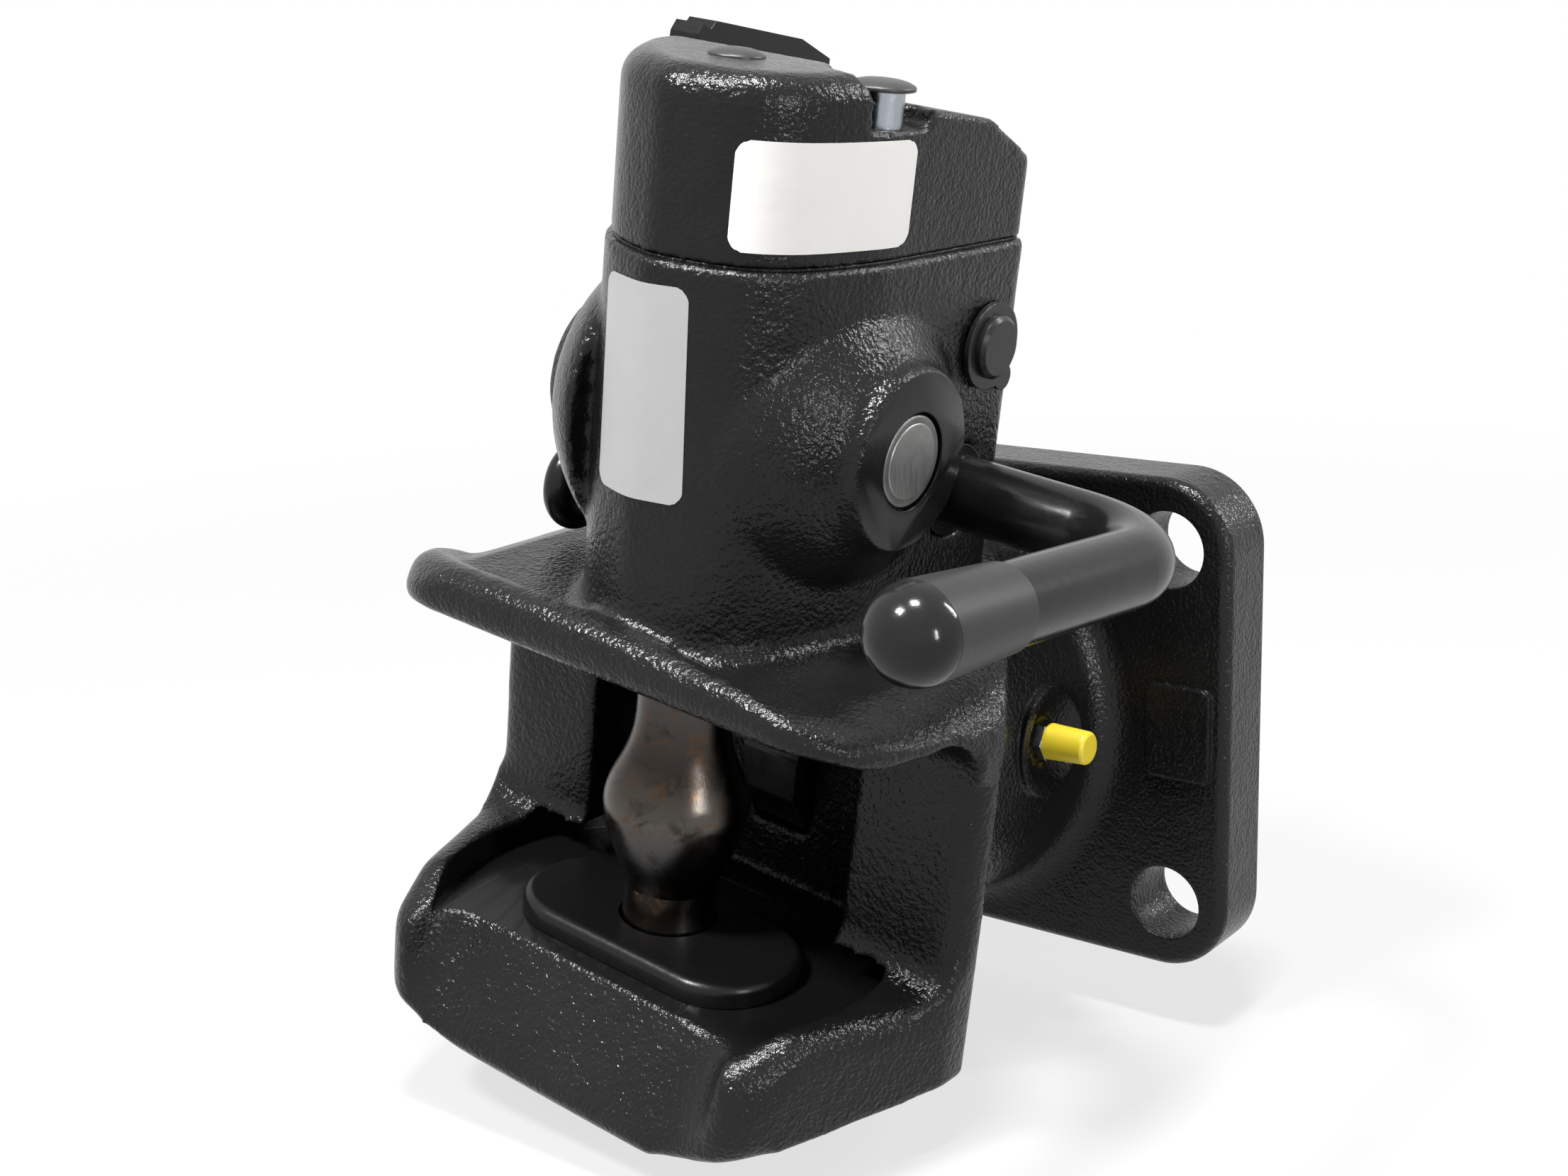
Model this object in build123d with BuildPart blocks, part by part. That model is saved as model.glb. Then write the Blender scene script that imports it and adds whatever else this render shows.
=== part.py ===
from build123d import *
import os
from math import atan2, cos, degrees, hypot, radians, sin

# Automatic trailer coupling for a 40 mm drawbar eye, with a swivelling head.
# Millimetres. The origin is the centre of the bolt pattern on the flange's rear face.
# +Y points to the vehicle, -Y is where the drawbar comes in, +X is the hand lever side.
# Every piece of the head is drawn upright and then turned about the swivel axis, Y,
# by rest_swivel, because the head of this coupling stands turned on its flange.

# Swivel
rest_swivel = 9.0
running_gap = 0.05
seat_gap = 0.3

# Flange
bolt_spacing_x = 160.0
bolt_spacing_z = 100.0
bolt_hole_diameter = 21.0
flange_width = 196.0
flange_height = 138.0
flange_thickness = 20.0
flange_corner = 20.0
flange_edge_round = 3.0
hub_length = 51.0
hub_front_radius = 57.0
hub_back_radius = 60.0
hub_root_round = 9.0
pad_width = 19.0
pad_height = 26.0
pad_corner = 2.5
pad_rise = 1.5
pad_centre_x = 84.0

# Swivel stem, its bushes and its nut
stem_radius = 27.0
swivel_bush_wall = 4.0
swivel_bush_length = 26.0
thrust_washer_radius = 50.0
thrust_washer_thickness = 1.4
thread_radius = 24.0
nut_washer_radius = 46.0
nut_washer_thickness = 6.0
nut_height = 24.0
nut_across_flats = 70.0
nut_slot_width = 7.0
nut_slot_depth = 9.0
stem_end_reach = 4.0
split_pin_radius = 2.6
split_pin_head_radius = 3.4
split_pin_reach = 32.0

# Grease nipple on the hub
nipple_y = -44.0
nipple_dish_radius = 13.0
nipple_dish_depth = 5.0
nipple_rim = 2.5
nipple_boss_rise = 2.5
nipple_thread_radius = 4.0
nipple_hex_radius = 5.5
nipple_hex_height = 4.0
nipple_tip_radius = 3.2
nipple_tip_length = 9.0
nipple_cap_radius = 4.9
nipple_cap_length = 12.0

# Coupling pin
pin_to_flange = 109.0
pin_tip_z = -62.0
pin_radius = 12.0
pin_tip_chamfer = 3.0
bulge_radius = 18.75
bulge_ring_radius = 16.2
bulge_z = -1.0
bulge_ring_z = -13.0
bulge_foot_z = -24.0
neck_bottom_z = 24.0
neck_top_z = 33.0
shank_radius = 19.5
shank_bottom_z = 43.0
shank_top_z = 84.0
spigot_radius = 10.5
spigot_height = 8.0
pin_travel = 65.5
notch_half_width = 8.5
notch_front_y = -141.0
notch_lower_z = 48.2
notch_upper_z = 62.9

# Upper guide sleeve, lower bush and wear plate
sleeve_wall = 3.0
sleeve_bottom_z = 38.0
sleeve_top_z = 130.0
sleeve_slot_half_width = 8.5
sleeve_slot_z = 52.0
lower_bush_wall = 4.0
floor_z = -40.0
wear_plate_top_z = -34.0
wear_plate_width = 80.0
wear_plate_front = 23.0
wear_plate_back = 17.0
wear_plate_corner = 18.0
wear_plate_round = 2.5
wear_plate_hole_gap = 0.8

# Tower
tower_half_width = 36.7
nose_reach = 29.5
nose_keel_x = 2.0
nose_keel_round = 10.0
nose_right = [(12.0, -156.2), (22.0, -152.4), (29.5, -144.0), (33.4, -133.0), (35.8, -120.0)]
nose_left = [(-5.0, -156.2), (-14.0, -151.9), (-20.0, -146.9), (-26.0, -140.0), (-31.6, -131.0)]
tower_rear_y = -51.0
parting_z = 141.6
tower_cheek_y = -108.0
tower_rear_corner = 7.0
tower_rim_round = 1.2
tower_foot_round = 5.0
tower_underside_gap = 1.5
chamber_half_width = 15.0
chamber_wall = 5.0
chamber_floor = 4.5
chamber_knee_y = -84.0
chamber_front_y = -112.0
chamber_front_z = 48.0

# Bosses and cross pins
boss_y = -111.4
boss_z = 97.2
boss_face_x = 48.3
boss_face_radius = 22.5
boss_skirt_radius = 42.0
boss_skirt_x = 22.0
boss_edge_round = 2.5
boss_side = [(40.5, 27.5), (36.5, 32.5), (30.0, 38.0)]
cross_pin_radius = 10.0
cross_pin_recess = 0.8
cross_pin_chamfer = 1.0
cross_pin_inner_x = 20.0

# Cover
cover_step_in = 1.2
cover_front_top_z = 184.0
cover_front_end_y = -115.6
cover_slope_end_y = -100.0
cover_slope_end_z = 176.0
cover_low_end_y = -74.0
cover_low_end_z = 172.0
cover_rear_z = 160.5
cover_top_round = 7.0
cover_bend_round = 6.0
gasket_step_in = 1.6
cover_roof = 6.0
gasket_thickness = 0.6
cover_screw_x = 26.0
cover_screw_y = -66.0
cover_screw_radius = 4.0
cover_screw_head_radius = 6.5
cover_screw_head_height = 8.0
cover_screw_reach = 14.0
cover_screw_key_radius = 3.4

# Indicator pin in the cover, and the plug in its roof
indicator_x = 28.0
indicator_y = -111.0
indicator_floor_z = 171.6
indicator_radius = 5.4
indicator_depth = 17.0
indicator_cap_radius = 7.8
indicator_cap_z = 180.2
indicator_cap_height = 3.8
indicator_pocket_radius = 12.0
plug_radius = 7.6
plug_rise = 2.6
plug_stem_radius = 5.0
plug_stem_length = 5.0

# Hand lever, its shaft and the lift arm
lever_y = -73.7
lever_z = 80.0
lever_radius = 9.4
lever_reach_x = 98.0
lever_bend_radius = 24.0
lever_front_y = -181.5
lever_rise = 4.3
lever_shaft_end_x = 61.0
grip_radius = 11.0
grip_rear_y = -151.0
lever_bush_wall = 2.5
lever_open_angle = 67.0
lift_arm_length = 60.0
lift_arm_rest_angle = -25.0
lift_nose_radius = 6.0
lift_arm_width = 12.0
lift_arm_thickness = 14.0
lift_hub_radius = 13.0

# Pull hook on the far end of the lever shaft
hook_x = 56.0
hook_bar_radius = 4.0
hook_curl_angle = 125.0
hook_hub_radius = 14.0
hook_hub_width = 9.0
hook_centre_y = -110.5
hook_centre_z = 64.0
hook_curl_radius = 8.0

# Catch shaft, pawl, release arm and retaining ring
catch_y = -67.0
catch_z = 116.5
catch_radius = 8.0
catch_end_x = 41.0
pawl_length = 20.0
pawl_width = 9.0
pawl_hub_radius = 10.5
pawl_tip_radius = 3.0
arm_inner_x = 40.5
arm_thickness = 9.0
arm_hub_radius = 13.0
arm_top_z = 185.0
ring_thickness = 1.4
ring_radius = 11.0
ring_x = 37.2
ring_groove_depth = 0.8
ring_tail_radius = 3.4

# Jaw
mouth_ceiling_z = 38.0
top_plate_z = 49.5
wall_front_y = -114.0
wall_half_width = 79.0
wall_edge_round = 7.5
pocket_half_width = 43.0
pocket_rear_y = -84.0
pocket_round = 14.0
lip_front_y = -168.0
lip_half_width = 70.0
lip_corner_round = 23.0
lip_underside_run = 24.0
lip_underside_bend = (3.0, 4.6)
lip_nose_rise = 7.0
lip_curl_run = 12.0
lip_ridge_in = 5.0
lip_ridge_z = 54.0
lip_droop = [(0.0, 54.5), (36.0, 54.2), (52.0, 52.0), (62.0, 49.0), (72.0, 44.8), (81.0, 40.0)]
shoulder = [(60.0, 49.7), (66.0, 47.6), (72.0, 44.4), (76.5, 40.0), (79.0, 33.0)]
wall_top_round = 12.0
wall_foot_round = 9.0
tray_front_y = -174.0
tray_front_half_width = 58.0
tray_corner_round = 14.0
tray_bottom_z = -74.0
tray_rim_z = -32.5
tray_edge_round = 4.5
rim_drop_y = -154.0
tray_bend_round = 9.0
tray_rim_round = 6.0
rim_drop = 10.0
tray_toe = 6.0
tray_side_rise = 17.0
tray_keel_half_width = 30.0
tray_keel_rise = 1.0
landing_crest_y = -157.5
landing_half_width = 50.0
landing_round = 11.0
landing_tilt = 6.0
landing_foot_out = 0.5
landing_foot_rise = 3.0
machined_radius = 61.0
machined_rim_z = -30.0
lower_boss_radius = 26.0
lower_boss_z = -84.0
head_rear_gap = 1.5
head_rear_radius = 56.0
wall_rear_y = -105.5

# How far a cutting shape reaches past the metal that it cuts
cut_reach = 20.0

# Trigger in the jaw's rear wall
trigger_pivot_y = -75.0
trigger_pivot_z = 16.0
trigger_half_width = 9.0
trigger_side_gap = 0.5
trigger_foot_z = -22.0
trigger_top_z = 22.0
trigger_back_y = -76.5
trigger_nose_y = -91.0
trigger_pin_radius = 3.5
trigger_pin_half_length = 20.0
trigger_slot_rear_y = -66.0
trigger_nose_z = -6.0
trigger_nose_round = 2.0

# Springs
closing_wire = 3.6
closing_spring_radius = 14.4
closing_turns = 7.0

# Places that follow from the dimensions above
flange_front_y = -flange_thickness
hub_front_y = flange_front_y - hub_length
pin_y = flange_front_y - pin_to_flange
nose_y = pin_y - nose_reach
head_rear_y = hub_front_y - head_rear_gap
stem_bore_radius = stem_radius + swivel_bush_wall
stem_shoulder_y = -seat_gap
nut_washer_y = running_gap
nut_y = nut_washer_y + nut_washer_thickness
stem_end_y = nut_y + nut_height + stem_end_reach
split_pin_y = nut_y + nut_height - nut_slot_depth / 2
nipple_seat_x = hub_front_radius + nipple_boss_rise - nipple_dish_depth
sleeve_bore_radius = shank_radius + running_gap
sleeve_radius = sleeve_bore_radius + sleeve_wall
lower_bush_bore_radius = pin_radius + running_gap
lower_bush_radius = lower_bush_bore_radius + lower_bush_wall
cover_bottom_z = parting_z + gasket_thickness
cover_screw_seat_z = cover_rear_z - cover_screw_head_height - 1
shank_room_z = shank_top_z + pin_travel + 1
indicator_foot_z = indicator_floor_z - indicator_depth + 1
lever_leg_length = (lever_y - lever_front_y) / cos(radians(lever_rise))
grip_start = (lever_y - grip_rear_y) / cos(radians(lever_rise))
spring_chamber_z = cover_front_top_z - cover_roof
lift_nose_y = lever_y - lift_arm_length * cos(radians(lift_arm_rest_angle))
lift_nose_z = lever_z + lift_arm_length * sin(radians(lift_arm_rest_angle))
chamber_rear_y = tower_rear_y - chamber_wall
chamber_rear_z = hub_back_radius + tower_underside_gap + chamber_floor
notch_profile = [
    (notch_front_y, notch_lower_z),
    (notch_front_y, notch_upper_z),
    (lift_nose_y, notch_upper_z),
    (pin_y + shank_radius + 1, notch_upper_z + 8.8),
    (pin_y + shank_radius + 1, neck_top_z + 4),
    (pin_y + shank_radius, neck_top_z + 4.8),
    (lift_nose_y + 1, notch_lower_z),
]
shaft_distance = hypot(catch_y - lever_y, catch_z - lever_z)
pawl_tip_y = catch_y - pawl_length * (catch_y - lever_y) / shaft_distance
pawl_tip_z = catch_z - pawl_length * (catch_z - lever_z) / shaft_distance
lift_notch_angle = lever_open_angle + degrees(atan2(catch_z - lever_z, catch_y - lever_y))
arm_profile = [
    (catch_y - 11, catch_z),
    (-88.0, 150.0),
    (-90.0, 168.0),
    (-94.5, 178.0),
    (-94.0, 182.0),
    (-92.0, 184.5),
    (-89.0, 183.0),
    (-87.0, arm_top_z),
    (-51.0, arm_top_z - 5.5),
    (-38.0, 174.0),
    (-38.0, 160.0),
    (-52.0, 140.0),
    (catch_y + 11, catch_z),
]
trigger_profile = [
    (trigger_back_y + 5, trigger_top_z),
    (trigger_back_y + 5, trigger_foot_z + 20),
    (trigger_back_y, trigger_foot_z),
    (trigger_back_y - 7, trigger_foot_z),
    (trigger_nose_y, trigger_nose_z - 6),
    (trigger_nose_y, trigger_nose_z + 6),
    (pocket_rear_y, trigger_top_z - 6),
    (pocket_rear_y + 2, trigger_top_z),
]
bolt_places = [
    (sx * bolt_spacing_x / 2, sz * bolt_spacing_z / 2) for sx in (-1, 1) for sz in (-1, 1)
]
# Sketch planes: one seen from the front, with Z up; one seen from +X, with +Y to the right
from_front = Plane((0, 0, 0), x_dir=(1, 0, 0), z_dir=(0, -1, 0))
from_side = Plane.YZ
swivel_axis = Axis((0, 0, 0), (0, 1, 0))
pin_plane = Plane((0, pin_y, 0))

os.makedirs("parts", exist_ok=True)


def write_fixed(piece, name):
    """Label a piece of the flange side and write it where it was drawn."""
    piece.label = name
    export_step(piece, f"parts/{name}.step")


def write_turned(piece, name):
    """Turn a piece of the head about the swivel axis, label it and write it."""
    turned = Rot(0, rest_swivel, 0) * piece
    turned.label = name
    export_step(turned, f"parts/{name}.step")


def tower_outline(inset):
    """Plan outline of the tower: a keeled nose, straight cheeks and a square back."""
    half = tower_half_width - inset
    rear = tower_rear_y - inset
    shrink = half / tower_half_width
    keel, *sides = [
        (shrink * x, tower_cheek_y + shrink * (y - tower_cheek_y))
        for x, y in [(nose_keel_x, nose_y)] + nose_right + nose_left
    ]
    with BuildSketch(mode=Mode.PRIVATE) as outline:
        with BuildLine():
            Spline(
                keel,
                *sides[: len(nose_right)],
                (half, tower_cheek_y),
                tangents=((1, 0.2), (0, 1)),
            )
            Polyline((half, tower_cheek_y), (half, rear), (-half, rear), (-half, tower_cheek_y))
            Spline(
                keel,
                *sides[len(nose_right) :],
                (-half, tower_cheek_y),
                tangents=((-1, 0.3), (0, 1)),
            )
        make_face()
        fillet(outline.vertices().group_by(Axis.Y)[-1], tower_rear_corner - inset)
        fillet(outline.vertices().group_by(Axis.Y)[0], nose_keel_round)
    return outline.sketch


# Flange with its bearing hub
with BuildPart() as flange_plate:
    with BuildSketch(from_front):
        RectangleRounded(flange_width, flange_height, flange_corner)
    extrude(amount=flange_thickness)
    fillet(flange_plate.faces().sort_by(Axis.Y)[0].edges(), flange_edge_round)
    with BuildSketch(Plane.XY):
        with BuildLine():
            Polyline(
                (0, flange_front_y + 1),
                (hub_back_radius + hub_root_round, flange_front_y + 1),
                (hub_back_radius + hub_root_round, flange_front_y),
            )
            RadiusArc(
                (hub_back_radius + hub_root_round, flange_front_y),
                (hub_back_radius, flange_front_y - hub_root_round),
                -hub_root_round,
            )
            Polyline(
                (hub_back_radius, flange_front_y - hub_root_round),
                (hub_front_radius, hub_front_y),
                (0, hub_front_y),
                (0, flange_front_y + 1),
            )
        make_face()
    revolve(axis=swivel_axis)
    # Boss with a dished seat for the grease nipple
    with BuildSketch(from_side.offset(hub_front_radius - 2 * nipple_dish_depth)):
        with Locations((nipple_y, 0)):
            Circle(nipple_dish_radius + nipple_rim)
    extrude(amount=2 * nipple_dish_depth + nipple_boss_rise)
    dish_ball_radius = (nipple_dish_radius**2 + nipple_dish_depth**2) / (2 * nipple_dish_depth)
    with Locations((nipple_seat_x + dish_ball_radius, nipple_y, 0)):
        Sphere(dish_ball_radius, mode=Mode.SUBTRACT)
    with BuildSketch(from_side.offset(nipple_seat_x)):
        with Locations((nipple_y, 0)):
            Circle(nipple_hex_radius + 1)
    extrude(amount=nipple_dish_depth, mode=Mode.SUBTRACT)
    # Raised pad beside the hub
    with BuildSketch(from_front.offset(flange_thickness)):
        with Locations((pad_centre_x, 0)):
            RectangleRounded(pad_width, pad_height, pad_corner)
    extrude(amount=pad_rise)
    # Stem bore, bolt holes and the thread of the nipple
    with BuildSketch(from_front):
        Circle(stem_bore_radius)
        with Locations(*bolt_places):
            Circle(bolt_hole_diameter / 2)
    extrude(amount=flange_thickness + hub_length, mode=Mode.SUBTRACT)
    with BuildSketch(from_side.offset(stem_bore_radius - 1)):
        with Locations((nipple_y, 0)):
            Circle(nipple_thread_radius)
    extrude(amount=hub_front_radius, mode=Mode.SUBTRACT)
write_fixed(flange_plate.part, "flange_plate")

# Two plain bushes pressed into the hub, one at each end of its bore
with BuildPart() as swivel_bushes:
    for bush_start_y in (0, hub_front_y + swivel_bush_length):
        with BuildSketch(from_front.offset(-bush_start_y)):
            Circle(stem_bore_radius)
            Circle(stem_radius + running_gap, mode=Mode.SUBTRACT)
        extrude(amount=swivel_bush_length)
write_fixed(swivel_bushes.part, "swivel_bushes")

# Thrust washer between the hub and the head
with BuildPart() as thrust_washer:
    with BuildSketch(from_front.offset(-hub_front_y)):
        Circle(thrust_washer_radius)
        Circle(stem_radius + seat_gap, mode=Mode.SUBTRACT)
    extrude(amount=thrust_washer_thickness)
write_fixed(thrust_washer.part, "thrust_washer")

# Grease nipple and its push-on cap
with BuildPart() as grease_nipple:
    with BuildSketch(from_side.offset(stem_bore_radius + swivel_bush_wall)):
        with Locations((nipple_y, 0)):
            Circle(nipple_thread_radius)
    extrude(amount=nipple_seat_x - stem_bore_radius - swivel_bush_wall)
    with BuildSketch(from_side.offset(nipple_seat_x)):
        with Locations((nipple_y, 0)):
            RegularPolygon(nipple_hex_radius, 6)
    extrude(amount=nipple_hex_height)
    with BuildSketch(from_side.offset(nipple_seat_x + nipple_hex_height)):
        with Locations((nipple_y, 0)):
            Circle(nipple_tip_radius)
    extrude(amount=nipple_tip_length)
    fillet(grease_nipple.faces().sort_by(Axis.X)[-1].edges(), 1.0)
write_fixed(grease_nipple.part, "grease_nipple")

with BuildPart() as nipple_cap:
    with BuildSketch(from_side.offset(nipple_seat_x + nipple_hex_height)):
        with Locations((nipple_y, 0)):
            Circle(nipple_cap_radius)
    extrude(amount=nipple_cap_length, taper=2)
    fillet(nipple_cap.faces().sort_by(Axis.X)[-1].edges(), 1.2)
    with BuildSketch(from_side.offset(nipple_seat_x + nipple_hex_height)):
        with Locations((nipple_y, 0)):
            Circle(nipple_tip_radius + running_gap)
    extrude(amount=nipple_tip_length + seat_gap, mode=Mode.SUBTRACT)
write_fixed(nipple_cap.part, "nipple_cap")

# Space above the upper lip, which droops to the sides
with BuildPart() as above_lip:
    with BuildSketch(from_front):
        with BuildLine():
            Spline(*lip_droop, tangents=((1, 0), (1, -0.4)))
            Polyline(
                lip_droop[-1],
                (lip_droop[-1][0], lip_ridge_z + cut_reach),
                (0, lip_ridge_z + cut_reach),
            )
            mirror(about=Plane.YZ)
        make_face()
    extrude(amount=cut_reach - lip_front_y)

# Space outside the rounded shoulders, where the lip runs into the walls
with BuildPart() as beside_shoulders:
    with BuildSketch(from_front):
        with BuildLine():
            Spline(*shoulder, tangents=((1, -0.25), (0, -1)))
            Polyline(
                shoulder[-1],
                (shoulder[-1][0] + cut_reach, shoulder[-1][1]),
                (shoulder[-1][0] + cut_reach, lip_ridge_z + cut_reach),
                (shoulder[0][0], lip_ridge_z + cut_reach),
                shoulder[0],
            )
        make_face()
    extrude(amount=cut_reach - lip_front_y)
    mirror(about=Plane.YZ)

# Upper lip of the jaw: a plate that droops to the sides
with BuildPart() as upper_lip:
    with BuildSketch(Plane.XY) as lip_plan:
        with BuildLine():
            Polyline(
                (0, lip_front_y),
                (lip_half_width, lip_front_y),
                (wall_half_width, wall_front_y - wall_edge_round),
                (wall_half_width, wall_rear_y),
                (head_rear_radius, head_rear_y),
                (0, head_rear_y),
            )
            mirror(about=Plane.YZ)
        make_face()
        fillet(lip_plan.vertices().group_by(Axis.Y)[0], lip_corner_round)
    extrude(amount=lip_ridge_z + 1)
    with BuildSketch(from_side.offset(-wall_half_width - 1)):
        with BuildLine():
            Polyline(
                (lip_front_y + lip_underside_run, mouth_ceiling_z),
                (head_rear_y, mouth_ceiling_z),
                (head_rear_y, top_plate_z),
                (lip_front_y + 1, top_plate_z),
                (lip_front_y, top_plate_z - 2),
                (lip_front_y, mouth_ceiling_z + lip_nose_rise),
            )
            Spline(
                (lip_front_y, mouth_ceiling_z + lip_nose_rise),
                (lip_front_y + lip_underside_bend[0], mouth_ceiling_z + lip_underside_bend[1]),
                (lip_front_y + lip_underside_run, mouth_ceiling_z),
                tangents=((0, -1), (1, 0)),
            )
        make_face()
    extrude(amount=2 * wall_half_width + 2, mode=Mode.INTERSECT)
    add(above_lip.part, mode=Mode.SUBTRACT)

# The curled front edge of the upper lip
with BuildPart() as lip_ridge:
    with BuildSketch(Plane.XY):
        add(lip_plan.sketch)
    extrude(amount=lip_ridge_z + 1)
    with BuildSketch(from_side.offset(-wall_half_width - 1)):
        with BuildLine():
            Spline(
                (lip_front_y + lip_curl_run, top_plate_z),
                (lip_front_y + lip_ridge_in, lip_ridge_z),
                tangents=((-1, 0), (-1, 0)),
            )
            Spline(
                (lip_front_y + lip_ridge_in, lip_ridge_z),
                (lip_front_y, top_plate_z - 2),
                tangents=((-1, 0), (0, -1)),
            )
            Polyline(
                (lip_front_y, top_plate_z - 2),
                (lip_front_y + 1, top_plate_z - 4),
                (lip_front_y + lip_curl_run, top_plate_z - 4),
                (lip_front_y + lip_curl_run, top_plate_z),
            )
        make_face()
    extrude(amount=2 * wall_half_width + 2, mode=Mode.INTERSECT)
    add(above_lip.part, mode=Mode.SUBTRACT)

# Space over the sloping landing for the drawbar eye, with hollow corners at its sides
with BuildPart() as landing_space:
    with BuildSketch(from_side.offset(-landing_half_width)):
        Polygon(
            (landing_crest_y, floor_z),
            (landing_crest_y, tray_rim_z + cut_reach),
            (tray_front_y - cut_reach, tray_rim_z + cut_reach),
            (tray_front_y - cut_reach, tray_bottom_z - cut_reach),
            (tray_front_y - landing_tilt, tray_bottom_z - cut_reach),
            (tray_front_y - landing_foot_out, tray_bottom_z + landing_foot_rise),
            align=None,
        )
    extrude(amount=2 * landing_half_width)
    landing_sides = landing_space.edges().filter_by(
        lambda e: tray_front_y < e.center().Y < landing_crest_y and abs(e.center().X) > 1
    )
    fillet(landing_sides, landing_round)

# Lower part of the jaw: a tray that narrows to the front
with BuildPart() as tray:
    with BuildSketch(Plane.XY.offset(lower_boss_z)) as tray_plan:
        with BuildLine():
            Polyline(
                (0, tray_front_y),
                (tray_front_half_width, tray_front_y),
                (wall_half_width, wall_front_y),
                (wall_half_width, wall_rear_y),
                (head_rear_radius, head_rear_y),
                (0, head_rear_y),
            )
            mirror(about=Plane.YZ)
        make_face()
        fillet(tray_plan.vertices().group_by(Axis.Y)[0], tray_corner_round)
    extrude(amount=tray_rim_z - lower_boss_z)
    with BuildSketch(from_side.offset(-wall_half_width - 1)) as tray_side:
        with BuildLine():
            Polyline(
                (head_rear_y, tray_rim_z),
                (rim_drop_y, tray_rim_z),
                (tray_front_y, tray_rim_z - rim_drop),
                (tray_front_y, tray_bottom_z + tray_toe),
                (tray_front_y + tray_toe, tray_bottom_z),
                (pin_y, tray_bottom_z),
                (head_rear_y, -head_rear_radius),
                (head_rear_y, tray_rim_z),
            )
        make_face()
        front_bends = tray_side.vertices().filter_by(lambda v: v.Y < pin_y)
        fillet(front_bends, tray_edge_round)
    extrude(amount=2 * wall_half_width + 2, mode=Mode.INTERSECT)
    with BuildSketch(from_front.offset(-head_rear_y)) as tray_front:
        with BuildLine():
            Polyline(
                (0, tray_rim_z),
                (wall_half_width, tray_rim_z),
                (wall_half_width, tray_bottom_z + tray_side_rise),
                (tray_keel_half_width, tray_bottom_z + tray_keel_rise),
                (0, tray_bottom_z),
            )
            mirror(about=Plane.YZ)
        make_face()
        foot_bends = tray_front.vertices().filter_by(
            lambda v: abs(v.X) > 1 and v.Z < tray_rim_z - 1
        )
        fillet(foot_bends, tray_bend_round)
    extrude(amount=head_rear_y - tray_front_y + 1, mode=Mode.INTERSECT)
    add(landing_space.part, mode=Mode.SUBTRACT)
    # Rounded rim from the walls round the front corners
    rim_edges = tray.edges().filter_by(
        lambda e: abs(e.center().X) > landing_half_width + 1
        and e.center().Z > tray_rim_z - rim_drop
        and tray_front_y + 1 < e.center().Y < wall_front_y
    )
    fillet(rim_edges, tray_rim_round)

# Hollow corners between the walls' front faces, the lip above and the tray below
with BuildPart() as wall_tops:
    with BuildSketch(from_side.offset(pocket_half_width)):
        with BuildLine():
            Polyline(
                (wall_front_y - wall_top_round, mouth_ceiling_z),
                (wall_front_y - wall_top_round, mouth_ceiling_z + 1),
                (wall_front_y + wall_edge_round, mouth_ceiling_z + 1),
                (wall_front_y + wall_edge_round, mouth_ceiling_z - wall_top_round),
                (wall_front_y, mouth_ceiling_z - wall_top_round),
            )
            RadiusArc(
                (wall_front_y, mouth_ceiling_z - wall_top_round),
                (wall_front_y - wall_top_round, mouth_ceiling_z),
                -wall_top_round,
            )
        make_face()
    extrude(amount=wall_half_width - pocket_half_width)
    mirror(about=Plane.YZ)
    with BuildSketch(Plane.XY):
        add(lip_plan.sketch)
    extrude(amount=lip_ridge_z, mode=Mode.INTERSECT)

with BuildPart() as wall_feet:
    with BuildSketch(from_side.offset(pocket_half_width)):
        with BuildLine():
            Polyline(
                (wall_front_y - wall_foot_round, tray_rim_z),
                (wall_front_y - wall_foot_round, tray_rim_z - 1),
                (wall_front_y + wall_edge_round, tray_rim_z - 1),
                (wall_front_y + wall_edge_round, tray_rim_z + wall_foot_round),
                (wall_front_y, tray_rim_z + wall_foot_round),
            )
            RadiusArc(
                (wall_front_y, tray_rim_z + wall_foot_round),
                (wall_front_y - wall_foot_round, tray_rim_z),
                wall_foot_round,
            )
        make_face()
    extrude(amount=wall_half_width - pocket_half_width)
    mirror(about=Plane.YZ)
    with BuildSketch(Plane.XY.offset(lower_boss_z)):
        add(tray_plan.sketch)
    extrude(amount=-lower_boss_z, mode=Mode.INTERSECT)

# Domed boss on the tower's cheek; the same form stands on both sides
with BuildPart() as boss:
    with BuildSketch(Plane((0, boss_y, boss_z), x_dir=(1, 0, 0), z_dir=(0, -1, 0))):
        with BuildLine():
            Polyline(
                (boss_skirt_x, boss_skirt_radius),
                (boss_skirt_x, 0),
                (boss_face_x, 0),
                (boss_face_x, boss_face_radius - boss_edge_round),
            )
            ThreePointArc(
                (boss_face_x, boss_face_radius - boss_edge_round),
                (
                    boss_face_x - 0.3 * boss_edge_round,
                    boss_face_radius - 0.3 * boss_edge_round,
                ),
                (boss_face_x - boss_edge_round, boss_face_radius),
            )
            Spline(
                (boss_face_x - boss_edge_round, boss_face_radius),
                *boss_side,
                (boss_skirt_x, boss_skirt_radius),
                tangents=((-1, 0.25), (-1, 0.2)),
            )
        make_face()
    revolve(axis=Axis((0, boss_y, boss_z), (1, 0, 0)))

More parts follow.
